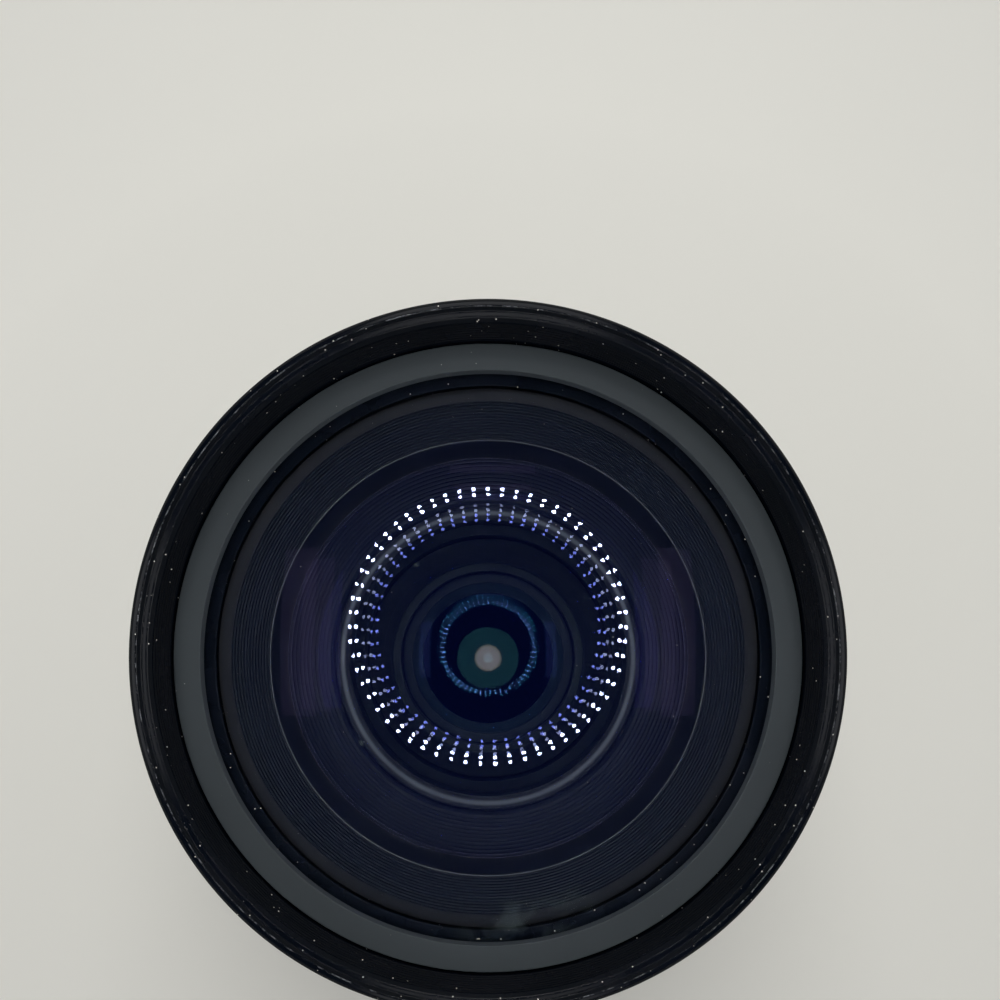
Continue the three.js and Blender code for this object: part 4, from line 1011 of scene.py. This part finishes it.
def glass_profile(radius, low, high, front, rear, bowl, neck=None, rows=40):
    """Profile of a glass from its rear vertex out over the edge and back to its front vertex.

    A positive front curve bulges forwards from its edge and a negative one dips. A positive rear curve is a bowl
    that rises forwards inside the bowl's radius, and a negative one bulges rearwards. low and high are the lowest
    and highest places of the whole glass. A neck is the smaller radius of the front face and the height of the
    shoulder where it starts.
    """
    face, shoulder = neck or (radius, None)
    rear_r = np.linspace(0, bowl, rows)
    front_r = np.linspace(face, 0, rows)
    if rear > 0:
        rear_z = low + sag(rear, bowl) - sag(rear, rear_r)
    else:
        rear_z = low + sag(-rear, rear_r)
    if front > 0:
        front_z = high - sag(front, front_r)
    else:
        front_z = high - sag(-front, face) + sag(-front, front_r)
    edge_low = rear_z[-1]
    profile = [np.stack([rear_r, rear_z], axis=1)]
    if bowl < radius:
        profile.append([(bowl + (radius - bowl) * 0.04, edge_low), (radius - sizes().glass_edge, edge_low)])
    chamfer = sizes().glass_edge
    profile.append([(radius, edge_low + chamfer)])
    if shoulder:
        profile.append([(radius, shoulder - chamfer), (radius - chamfer, shoulder), (face, shoulder)])
    profile.append([(face, front_z[0] - chamfer)])
    profile.append(np.stack([front_r * (1 - 1e-4), front_z], axis=1))
    return np.concatenate(profile)


def glass_piece(name, node, body, curves, material, bowl=None, high=None, neck=None):
    """A smooth glass in place of its faceted node, with one point on the axis at each pole.

    curves are the radii of the front and rear faces, bowl is the radius of the rear bowl, high the height of the
    front vertex where it is lower than the node's, and neck as in glass_profile.
    """
    radius, low, top = node_box(node)
    front, rear = curves
    profile = glass_profile(radius, low, high or top, front * MM, rear * MM, bowl or radius, neck)
    profile[[0, -1], 0] = 0.0
    mesh = make_mesh(name, *capped(turned(profile, around(192))))
    mesh.set_sharp_from_angle(angle=12 * DEGREE)
    return put_piece(name, mesh, body, material, [node])


class LENS_OT_glasses(bpy.types.Operator):
    """The six glasses with their coatings"""

    bl_idname = "lens.glasses"
    bl_label = "Glasses"

    def execute(self, context):
        front, rear = "front_group", "rear_group"
        glass_piece("front_glass", "front_element", front, (131, 116), front_glass(), bowl=33.0 * MM)
        glass_piece(
            "second_glass",
            "second_element",
            front,
            (155, 55),
            second_glass(),
            bowl=18.5 * MM,
            high=68.53 * MM,
            neck=(26.2 * MM, 64.2 * MM),
        )
        glass_piece("third_glass", "third_element", front, (60, -150), teal_glass())
        glass_piece("fourth_glass", "fourth_element", rear, (38, -90), teal_glass())
        glass_piece("fifth_glass", "fifth_element", rear, (60, -40), inner_glass())
        glass_piece("sixth_glass", "sixth_element", rear, (-45, -35), violet_glass())
        return {"FINISHED"}


# Barrels


def grip_swell(count, height, ridges):
    """Growth of a grip's radius: broad ribs as in the grip's outline, each with fine ridges along it."""

    def swell(angles, profile):
        place = angles[:, None] / TURN * count % 1.0
        land = np.interp(place, [0, 0.12, 0.52, 0.64, 1], [0, 1, 1, 0, 0])
        ridge = 0.5 - 0.5 * np.cos(place / 0.4 * ridges * TURN)
        fine = land * (0.72 + 0.28 * ridge)
        return height * fine * profile[None, :, 2]

    return swell


class LENS_OT_grips(bpy.types.Operator):
    """Rubber grips of the zoom and focus rings"""

    bl_idname = "lens.grips"
    bl_label = "Rubber grips"

    rib_count: bpy.props.IntProperty(name="Ribs", description="Number of ribs round each grip", default=16)

    def execute(self, context):
        s = sizes()
        for name, node, body, wall in (
            ("zoom_grip_rubber", "zoom_grip", "zoom", s.zoom_wall),
            ("focus_grip_rubber", "focus_grip", "focus", s.focus_wall),
        ):
            low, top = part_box(node)[0].z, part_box(node)[1].z
            inner = s.ring_bore + wall + s.grip_seat
            base = inner + s.grip_base
            profile = np.array(
                [
                    (inner, low, 0),
                    (base, low, 0),
                    (base, low + s.rib_edge * 0.35, 0),
                    (base, low + s.rib_edge, 1),
                    (base, top - s.rib_edge, 1),
                    (base, top - s.rib_edge * 0.35, 0),
                    (base, top, 0),
                    (inner, top, 0),
                ]
            )
            turned_piece(
                name,
                profile,
                body,
                moulded_rubber(),
                [node],
                facets=self.rib_count * 40,
                swell=grip_swell(self.rib_count, s.rib_height, 4),
            )
        return {"FINISHED"}


class LENS_OT_rings(bpy.types.Operator):
    """Zoom ring, focus ring and front carrier"""

    bl_idname = "lens.rings"
    bl_label = "Rings"

    def execute(self, context):
        s = sizes()
        metal = anodised_black()
        collar, low, top = node_box("zoom_ring")
        grip_low, grip_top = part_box("zoom_grip")[0].z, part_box("zoom_grip")[1].z
        seat = s.ring_bore + s.zoom_wall
        collar = seat + s.collar
        gap = s.grip_seat
        groove = 0.35 * MM
        turned_piece(
            "zoom_ring_shell",
            [
                (s.ring_bore, low),
                (collar - groove, low),
                (collar, low + groove),
                (collar, grip_low - gap),
                (seat, grip_low - gap),
                (seat, grip_top + gap),
                (collar, grip_top + gap),
                (collar, top - groove),
                (collar - groove, top),
                (s.ring_bore, top),
            ],
            "zoom",
            metal,
            ["zoom_ring"],
        )
        low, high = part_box("zoom_key_screw")
        middle = (low + high) / 2
        turn = math.atan2(middle.y, middle.x)
        way = np.array([math.cos(turn), math.sin(turn), 0])
        hole = drum(34.2 * MM * way + [0, 0, middle.z], way, 1.5 * MM, 4 * MM)
        carved(bpy.data.objects["zoom_ring_shell"], [hole])
        flare, low, top = node_box("focus_ring")
        grip_low, grip_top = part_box("focus_grip")[0].z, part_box("focus_grip")[1].z
        seat = s.ring_bore + s.focus_wall
        collar = seat + s.collar
        flare_top = grip_top + gap + 3.4 * MM
        turned_piece(
            "focus_ring_shell",
            [
                (s.ring_bore, low),
                (collar - groove, low),
                (collar, low + groove),
                (collar, grip_low - gap),
                (seat, grip_low - gap),
                (seat, grip_top + gap),
                (collar, grip_top + gap),
                (flare, flare_top),
                (flare, top - groove),
                (flare - groove, top),
                (s.ring_bore, top),
            ],
            "focus",
            metal,
            ["focus_ring"],
        )
        outer, low, top = node_box("front_carrier")
        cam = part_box("cam_barrel")[1].x + 0.4 * MM
        turned_piece(
            "front_carrier_tube",
            [
                (cam, low),
                (outer, low),
                (outer, top),
                (outer - s.carrier_wall, top),
                (outer - s.carrier_wall, low + 4 * MM),
                (cam, low + 4 * MM),
            ],
            "carrier",
            metal,
            ["front_carrier"],
        )
        return {"FINISHED"}


class LENS_OT_rear_barrels(bpy.types.Operator):
    """Index barrel and aperture ring"""

    bl_idname = "lens.rear_barrels"
    bl_label = "Rear barrels"

    scallops: bpy.props.IntProperty(name="Scallops", description="Finger lands of the aperture ring", default=12)

    def execute(self, context):
        s = sizes()
        outer, low, top = node_box("index_barrel")
        bore = 26.0 * MM
        wall = 2.0 * MM
        floor = 1.7 * MM
        chamfer = 0.8 * MM
        turned_piece(
            "index_barrel_shell",
            [
                (bore, low),
                (outer, low),
                (outer, top - chamfer),
                (outer - chamfer, top),
                (outer - wall, top),
                (outer - wall, low + floor),
                (bore, low + floor),
            ],
            "fixed_barrel",
            anodised_black(),
            ["index_barrel"],
        )
        inner = 30.2 * MM
        base = inner + 2.2 * MM
        low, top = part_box("aperture_ring")[0].z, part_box("aperture_ring")[1].z
        band_low = low + 1.8 * MM
        band_top = band_low + 4.4 * MM
        slope = 0.5 * MM
        profile = np.array(
            [
                (inner, low, 0),
                (base, low, 0),
                (base, band_low, 0),
                (base, band_low + slope, 1),
                (base, band_top - slope, 1),
                (base, band_top, 0),
                (base - 0.6 * MM, top, 0),
                (inner, top, 0),
            ]
        )
        count = self.scallops

        def swell(angles, grid):
            place = angles[:, None] / TURN * count % 1.0
            land = np.clip(np.minimum(place, 1 - place) / 0.12, 0, 1)
            land = 0.1 + 0.9 * land * land * (3 - 2 * land)
            knurl = 0.5 - 0.5 * np.cos(place * 9 * TURN)
            return 0.9 * MM * land * (0.7 + 0.3 * knurl) * grid[None, :, 2]

        turned_piece(
            "aperture_ring_shell",
            profile,
            "aperture",
            anodised_black(),
            ["aperture_ring"],
            facets=count * 72,
            swell=swell,
        )
        low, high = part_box("fork_screw")
        hole = drum((0, 31.0 * MM, (low.z + high.z) / 2), (0, 1, 0), (high.x - low.x) / 2 + s.grip_seat, 4 * MM)
        carved(bpy.data.objects["aperture_ring_shell"], [hole])
        return {"FINISHED"}


# Mount and rear end


class LENS_OT_rear_end(bpy.types.Operator):
    """Rear cell, the barrel of the last two glasses, its retaining ring and the stop-down lever"""

    bl_idname = "lens.rear_end"
    bl_label = "Rear end"

    sleeve_wall: length("Sleeve wall", "Wall of the rear cell's sleeve", 1.6)
    web_gap: length("Web gap", "Gap between the rear lens barrel and the iris web", 0.3)
    web: length("Web", "Thickness of the iris web", 2.0)
    web_bore: length("Web bore", "Radius of the opening in the iris web", 8.4)
    barrel_wall: length("Barrel wall", "Wall of the rear lens barrel", 1.4)
    barrel_lip: length("Barrel lip", "Thickness of the rear lens barrel's lip", 1.0)
    lip_reach: length("Lip reach", "How far the lip stands inside the barrel's bore", 1.5)
    ring_width: length("Ring width", "Width of the rear retaining ring", 1.4)
    lever_width: length("Lever width", "Width of the stop-down lever's ring", 2.6)
    tab_thickness: length("Tab thickness", "Thickness of the stop-down lever's tab", 1.4)
    tab_width: length("Tab width", "Width of the stop-down lever's tab", 4.0)

    def execute(self, context):
        black = flocked_black()
        sleeve, low, top = node_box("rear_cell")
        bore = sleeve - self.sleeve_wall
        barrel, barrel_low, barrel_top = node_box("rear_lens_barrel")
        web = barrel_top + self.web_gap
        turned_piece(
            "rear_cell_sleeve",
            [
                (bore, low),
                (sleeve, low),
                (sleeve, top),
                (bore, top),
                (bore, web + self.web),
                (self.web_bore, web + self.web),
                (self.web_bore, web),
                (bore, web),
            ],
            "rear_group",
            black,
            ["rear_cell"],
        )
        inside = barrel - self.barrel_wall
        lip = barrel_top - self.barrel_lip
        turned_piece(
            "rear_barrel_tube",
            [
                (inside, barrel_low),
                (barrel, barrel_low),
                (barrel, barrel_top),
                (inside - self.lip_reach, barrel_top),
                (inside - self.lip_reach, lip),
                (inside, lip),
            ],
            "rear_group",
            black,
            ["rear_lens_barrel"],
        )
        ring, ring_low, ring_top = node_box("rear_retaining_ring")
        hole = ring - self.ring_width
        rear_ring = turned_piece(
            "rear_ring",
            [(hole, ring_low), (ring, ring_low), (ring, ring_top), (hole, ring_top)],
            "rear_group",
            anodised_black(),
            ["rear_retaining_ring"],
        )
        # Two slots for a pin spanner cross the rear ring.
        slot = (self.ring_width * 1.6, 1.2 * MM, 1.0 * MM)
        carved(rear_ring, [block((side * (ring + hole) / 2, 0, ring_low), slot) for side in (-1, 1)])
        low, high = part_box("stop_down_lever")
        ring = high.x
        hole = ring - self.lever_width
        ring_low = high.z - 1.2 * MM
        lever = turned_piece(
            "stop_down_ring",
            [(hole, ring_low), (ring, ring_low), (ring, high.z), (hole, high.z)],
            "stop_down",
            steel(),
            ["stop_down_lever"],
        )
        tab = (self.tab_width, self.tab_thickness, high.z - 0.3 * MM - low.z)
        middle = (0, -hole - self.tab_thickness / 2, low.z + tab[2] / 2)
        carved(lever, [block(middle, tab)], "UNION")
        return {"FINISHED"}


class LENS_OT_mount(bpy.types.Operator):
    """Bayonet mount with its lugs, mount screws and lock slot"""

    bl_idname = "lens.mount"
    bl_label = "Bayonet mount"

    head_height: length("Head height", "Height of the mount screws' heads", 1.1)
    hole_gap: length("Hole gap", "Gap round the heads of the mount screws", 0.3)
    shank: length("Shank", "Radius of the mount screws' shanks", 1.0)
    lock_radius: length("Lock radius", "Distance of the lock slot from the axis", 28)
    lock_width: length("Lock width", "Radius of the lock slot", 1.5)
    lock_depth: length("Lock depth", "Depth of the lock slot", 1.2)

    def execute(self, context):
        s = sizes()
        flange, low, top = node_box("bayonet_mount")
        tube = s.mount_throat + s.mount_wall
        lug_top = s.lug_low + s.lug_thickness
        profile = np.array(
            [
                (s.mount_throat, low, 0),
                (tube, low, 0),
                (tube, s.lug_low, 0),
                (tube, s.lug_low + 0.1 * MM, 1),
                (tube, lug_top - 0.1 * MM, 1),
                (tube, lug_top, 0),
                (tube, s.mount_tube, 0),
                (flange, s.mount_tube, 0),
                (flange, top, 0),
                (s.mount_throat, top, 0),
            ]
        )

        def lugs(angles, grid):
            place = angles[:, None] % (TURN / 3)
            inside = (place > 0.005) & (place < s.lug_span - 0.005)
            return s.lug_depth * inside * grid[None, :, 2]

        bayonet = turned_piece(
            "bayonet",
            profile,
            "fixed_barrel",
            plated_chrome(),
            ["bayonet_mount"],
            facets=360,
            reach=0.1 * MM,
            swell=lugs,
        )
        down = s.mount_tube - 0.2 * MM
        holes = []
        for number in range(1, 5):
            node = f"mount_screw_{number}"
            low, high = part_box(node)
            middle = (low + high) / 2
            head = (high.x - low.x) / 2
            holes.append(drum((middle.x, middle.y, down), (0, 0, 1), head + self.hole_gap, self.head_height + 0.2 * MM))
            rim = rounded([(0, low.z), (head, low.z), (head, low.z + self.head_height)], 0.15 * MM)[7:14]
            shank = [(self.shank, low.z + self.head_height), (self.shank, high.z), (0, high.z)]
            profile = np.concatenate([[(0, low.z)], rim, [(head, low.z + self.head_height)], shank])
            screw_mesh = make_mesh(f"{node}_head", *capped(turned(profile, around(48)) + np.array([middle.x, middle.y, 0])))
            screw = put_piece(f"{node}_head", screw_mesh, "fixed_barrel", steel(), [node])
            recess = (head * 1.25, head * 0.26, self.head_height)
            carved(screw, [block((middle.x, middle.y, low.z), recess, turn) for turn in (0.4, 0.4 + TURN / 4)])
        holes.append(drum((-self.lock_radius, 0, down), (0, 0, 1), self.lock_width, self.lock_depth + 0.2 * MM))
        carved(bayonet, holes)
        return {"FINISHED"}


# Stage


class LENS_OT_stage(bpy.types.Operator):
    """Table, lamp ring, soft panels and camera"""

    bl_idname = "lens.stage"
    bl_label = "Stage"

    lamp_count: bpy.props.IntProperty(name="Lamps", description="Lamps in one row of the lamp ring", default=59)
    lamp_power: bpy.props.FloatProperty(
        name="Lamp power", description="Power of one lamp", default=0.0036, unit="POWER"
    )
    lamp_radius: length("Lamp radius", "Radius of one lamp", 0.8)
    inner_row: length("Inner row", "Radius of the lamp ring's inner row", 56.02)
    outer_row: length("Outer row", "Radius of the lamp ring's outer row", 58.85)
    ring_shift: length("Ring shift", "How far the lamp ring's centre lies from the axis", 14.8)
    camera_height: length("Camera height", "Distance from the front rim up to the camera", 105.3)
    panel_distance: length("Panel distance", "Distance of the soft panels from the lens", 1600)
    panel_width: length("Panel width", "Width and height of a soft panel", 750)
    panel_slope: angle("Panel slope", "Height of the soft panels over the horizon", 42)
    panel_power: bpy.props.FloatProperty(
        name="Panel power", description="Power of one soft panel", default=5.7, unit="POWER"
    )
    window_width: length("Window width", "Width and height of the window that lights the table", 1200)
    window_slope: angle("Window slope", "Height of the window over the horizon", 64)
    window_power: bpy.props.FloatProperty(
        name="Window power", description="Power of the window that lights the table", default=19.3, unit="POWER"
    )
    room_light: bpy.props.FloatProperty(name="Room light", description="Strength of the room's light", default=0.044)
    face_radius: length("Camera face radius", "Radius of the pale face round the camera's lens", 5.6)
    face_power: bpy.props.FloatProperty(
        name="Camera face power", description="Power of the camera's pale face", default=0.00063, unit="POWER"
    )
    strip_radiance: bpy.props.FloatProperty(
        name="Holder brightness", description="Brightness of the pale sides of the ring light's holder", default=0.28
    )
    floor_reach: length("Floor reach", "Radius of the table's sweep", 1300)
    sweep_bend: length("Sweep bend", "Radius of the bend between the table and its wall", 350)
    sweep_height: length("Sweep height", "Height of the sweep's wall", 680)

    def add_camera(self, scene, height):
        data = bpy.data.cameras.new("camera")
        data.lens = 36
        data.sensor_width = 36
        data.shift_x = 0.012
        data.shift_y = 0.158
        data.clip_start = 10 * MM
        camera = bpy.data.objects.new("camera", data)
        camera.location = (0, 0, height)
        scene.collection.objects.link(camera)
        scene.camera = camera

    def add_lamps(self, scene, height):
        lamp = bpy.data.lights.new("ring_lamp", "POINT")
        lamp.energy = self.lamp_power
        lamp.shadow_soft_size = self.lamp_radius
        lamp.color = (1.0, 0.98, 0.95)
        for row, radius in enumerate((self.inner_row, self.outer_row)):
            for number, turn in enumerate(around(self.lamp_count, TURN / 4)):
                spot = bpy.data.objects.new(f"ring_lamp_{row}_{number}", lamp)
                spot.location = (radius * math.cos(turn), radius * math.sin(turn) + self.ring_shift, height)
                scene.collection.objects.link(spot)

    def add_camera_face(self, scene, height):
        """The pale face of the camera round its lens, which the glasses mirror as a small soft disc on the axis."""
        data = bpy.data.lights.new("camera_face", "AREA")
        data.shape = "DISK"
        data.size = 2 * self.face_radius
        data.energy = self.face_power
        data.color = (1.0, 0.74, 0.32)
        face = bpy.data.objects.new("camera_face", data)
        face.location = (0, 0, height + 1 * MM)
        scene.collection.objects.link(face)

    def add_panel(self, scene, name, width, slope, turn, power, lit):
        """A soft panel that faces the lens and lights only the pieces of one collection."""
        data = bpy.data.lights.new(name, "AREA")
        data.energy = power
        data.size = width
        panel = bpy.data.objects.new(name, data)
        flat = self.panel_distance * math.cos(slope)
        rise = self.panel_distance * math.sin(slope)
        panel.location = (flat * math.cos(turn), flat * math.sin(turn), rise)
        panel.rotation_euler = (0, TURN / 4 - slope, turn)
        scene.collection.objects.link(panel)
        panel.light_linking.receiver_collection = lit

    def add_panels(self, scene):
        """Four soft panels light the lens but not its glasses, which don't mirror them. A window lights the table."""
        lens = bpy.data.collections.new("lit_by_panels")
        table = bpy.data.collections.new("lit_by_window")
        for piece in scene.objects:
            if piece.type == "MESH" and not piece.name.endswith("_glass"):
                (table if piece.name == "table" else lens).objects.link(piece)
        for number, share in enumerate((1.0, 1.1, 1.0, 0.9)):
            power = self.panel_power * share
            name = f"soft_panel_{number}"
            self.add_panel(scene, name, self.panel_width, self.panel_slope, number * TURN / 4, power, lens)
        self.add_panel(scene, "window", self.window_width, self.window_slope, TURN / 4, self.window_power, table)

    def add_strips(self, scene, height):
        """Pale sides of the ring light's holder, which the glasses mirror beside and above the lamps."""
        glasses = bpy.data.collections.new("mirrors_strips")
        for piece in scene.objects:
            if piece.name.endswith("_glass"):
                glasses.objects.link(piece)
        for number, (x, y, width, depth) in enumerate(((-85, 12, 18, 76), (85, 12, 18, 76), (2, 84, 38, 4))):
            data = bpy.data.lights.new("holder_side", "AREA")
            data.shape = "RECTANGLE"
            data.size = width * MM
            data.size_y = depth * MM
            data.energy = self.strip_radiance * math.pi * data.size * data.size_y
            data.color = (0.84, 0.58, 0.72)
            side = bpy.data.objects.new(f"holder_side_{number}", data)
            side.location = (x * MM, y * MM, height)
            scene.collection.objects.link(side)
            side.light_linking.receiver_collection = glasses

    def add_table(self, scene):
        """A round sweep: a flat disc, a quarter circle of the bend's radius and an upright wall, turned about Z."""
        turn = np.linspace(0, TURN / 4, 16)
        flat = self.floor_reach - self.sweep_bend
        bend = np.stack([flat + self.sweep_bend * np.sin(turn), self.sweep_bend * (1 - np.cos(turn))], axis=1)
        profile = np.concatenate([[(0, 0), (0.3 * flat, 0)], bend, [(self.floor_reach, self.sweep_height)]])
        grid = turned(profile, around(128))[:, 1:]
        rows, columns = grid.shape[:2]
        here = np.arange(rows) * columns
        middle = np.stack([np.full(rows, rows * columns), np.roll(here, -1), here], axis=1)
        points = np.concatenate([grid.reshape(-1, 3), [(0, 0, 0)]])
        mesh = make_mesh("table", points, [grid_faces(rows, columns, closed_columns=False), middle])
        table = bpy.data.objects.new("table", mesh)
        scene.collection.objects.link(table)
        mesh.materials.append(table_top())

    def add_room(self, scene):
        world = bpy.data.worlds.new("soft_room")
        scene.world = world
        world.use_nodes = True
        tree = world.node_tree
        tree.nodes.clear()
        room = add_node(
            tree,
            "ShaderNodeBackground",
            {"Color": linear("#7e96ff"), "Strength": self.room_light},
        )
        add_node(tree, "ShaderNodeOutputWorld", links={"Surface": room.outputs["Background"]})
        scene.view_settings.view_transform = "Standard"

    def execute(self, context):
        height = CAD_BOX[1][2] + self.camera_height
        self.add_camera(context.scene, height)
        self.add_lamps(context.scene, height)
        self.add_camera_face(context.scene, height)
        self.add_table(context.scene)
        self.add_panels(context.scene)
        self.add_strips(context.scene, height)
        self.add_room(context.scene)
        return {"FINISHED"}


def table_top():
    """Pale laminate of the table: even, matt and slightly warm."""
    material, tree = material_tree("pale_laminate_table")
    if tree is None:
        return material
    place = add_node(tree, "ShaderNodeTexCoord").outputs["Object"]
    cloud = noise(tree, place, 60 * MM, 3.0)
    colour = mixed(tree, cloud, linear(colours().floor), linear("#e4e3db"))
    finish_principled(tree, {"Roughness": 0.7, "Specular IOR Level": 0.3}, {"Base Color": colour})
    return material


# Numbers


def wrapped_numbers(name, entries, radius, body, material, top_radius=None):
    """Numbers laid on a barrel: each letter's x runs round the axis and its y up the barrel.

    The barrel may taper: the radius goes from radius to top_radius over the numbers' height. Each entry is the text,
    the angle of its middle, the height of its foot and its size.
    """
    all_points, all_faces, used = [], [], 0
    for text, middle, foot, size in entries:
        curve = bpy.data.curves.new(name, "FONT")
        curve.body = text
        curve.size = size
        curve.align_x = "CENTER"
        curve.extrude = sizes().paint
        curve.resolution_u = 3
        holder = bpy.data.objects.new(name, curve)
        bpy.context.scene.collection.objects.link(holder)
        bpy.context.view_layer.update()
        mesh = bpy.data.meshes.new_from_object(holder.evaluated_get(bpy.context.evaluated_depsgraph_get()))
        places = np.zeros(len(mesh.vertices) * 3)
        mesh.vertices.foreach_get("co", places)
        places = places.reshape(-1, 3)
        turn = middle + places[:, 0] / radius
        reach = radius + places[:, 2]
        if top_radius is not None:
            reach = reach + (top_radius - radius) * places[:, 1] / size
        all_points.append(np.stack([reach * np.cos(turn), reach * np.sin(turn), foot + places[:, 1]], axis=1))
        all_faces += [tuple(corner + used for corner in face.vertices) for face in mesh.polygons]
        used += len(places)
        bpy.data.objects.remove(holder)
        bpy.data.curves.remove(curve)
        bpy.data.meshes.remove(mesh)
    mesh = bpy.data.meshes.new(name)
    mesh.from_pydata(np.concatenate(all_points).tolist(), [], all_faces)
    piece = bpy.data.objects.new(name, mesh)
    bpy.context.scene.collection.objects.link(piece)
    mesh.materials.append(material)
    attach(piece, body)
    return piece


class LENS_OT_numbers(bpy.types.Operator):
    """Plain numbers on the aperture, zoom and focus rings, and the index line"""

    bl_idname = "lens.numbers"
    bl_label = "Numbers"

    index_angle: angle("Index angle", "Angle of the index line round the axis", 270)

    def execute(self, context):
        s = sizes()
        white = enamel("white_engraving_enamel", colours().numbers)
        accent = enamel("amber_engraving_enamel", colours().accent)
        front = self.index_angle
        collar = s.ring_bore + s.zoom_wall + s.collar
        zoom_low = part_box("zoom_ring")[0].z
        focal = zip(("18", "20", "24", "28", "35"), (0, 14, 34, 50, 70))
        wrapped_numbers(
            "zoom_numbers",
            [(text, front - turn * DEGREE, zoom_low + 1.5 * MM, 2.9 * MM) for text, turn in focal],
            collar,
            "zoom",
            white,
        )
        aperture_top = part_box("aperture_ring")[1].z
        stops = ("2.8", "4", "5.6", "8", "11", "16", "22")
        base = 32.4 * MM
        wrapped_numbers(
            "aperture_numbers",
            [
                (text, front - number * 7.5 * DEGREE, aperture_top - 3.1 * MM, 2.3 * MM)
                for number, text in enumerate(stops)
            ],
            base - 0.05 * MM,
            "aperture",
            white,
            top_radius=base - 0.42 * MM,
        )
        flare, low, top = node_box("focus_ring")
        ranges = zip(("0.3", "0.4", "0.5", "0.7", "1", "2", "5"), (120, 100, 82, 62, 44, 24, 8))
        wrapped_numbers(
            "focus_numbers",
            [(text, front - turn * DEGREE, top - 2.3 * MM, 2.3 * MM) for text, turn in ranges],
            flare,
            "focus",
            accent,
        )
        index_radius, low, top = node_box("index_barrel")
        wrapped_numbers(
            "index_marks",
            [("|", front, top - 3.0 * MM, 3.2 * MM), ("|", front, low + 0.8 * MM, 2.6 * MM)],
            index_radius,
            "fixed_barrel",
            white,
        )
        return {"FINISHED"}


class LENS_OT_finishes(bpy.types.Operator):
    """Gives each solid that still shows the finish of its material slot"""

    bl_idname = "lens.finishes"
    bl_label = "Finishes"

    def execute(self, context):
        slots = {entry["node"]: entry["material_slot"] for entry in frame["record"]["subparts"]}
        for name, node in frame["nodes"].items():
            made = SLOT_FINISHES[slots[name]]()
            node.data.materials.clear()
            node.data.materials.append(made)
        return {"FINISHED"}


class LENS_PT_panel(bpy.types.Panel):
    """Lists the pieces of the lens in the sidebar"""

    bl_idname = "LENS_PT_panel"
    bl_label = "Zoom lens"
    bl_space_type = "VIEW_3D"
    bl_region_type = "UI"
    bl_category = "Lens"

    def draw(self, context):
        for operator in OPERATORS:
            self.layout.operator(operator.bl_idname)


OPERATORS = (
    LENS_OT_finishes,
    LENS_OT_filter_ring,
    LENS_OT_retaining_ring,
    LENS_OT_baffle,
    LENS_OT_inner_cells,
    LENS_OT_glasses,
    LENS_OT_grips,
    LENS_OT_rings,
    LENS_OT_rear_barrels,
    LENS_OT_rear_end,
    LENS_OT_mount,
    LENS_OT_numbers,
    LENS_OT_stage,
)
CLASSES = (LensSizes, LensColours, *OPERATORS, LENS_PT_panel)


def register():
    for made in CLASSES:
        bpy.utils.register_class(made)
    bpy.types.Scene.lens_sizes = bpy.props.PointerProperty(type=LensSizes)
    bpy.types.Scene.lens_colours = bpy.props.PointerProperty(type=LensColours)


def unregister():
    del bpy.types.Scene.lens_colours
    del bpy.types.Scene.lens_sizes
    for made in reversed(CLASSES):
        bpy.utils.unregister_class(made)


def main():
    register()
    for operator in OPERATORS:
        group, name = operator.bl_idname.split(".")
        getattr(getattr(bpy.ops, group), name)()


if __name__ == "__main__":
    main()
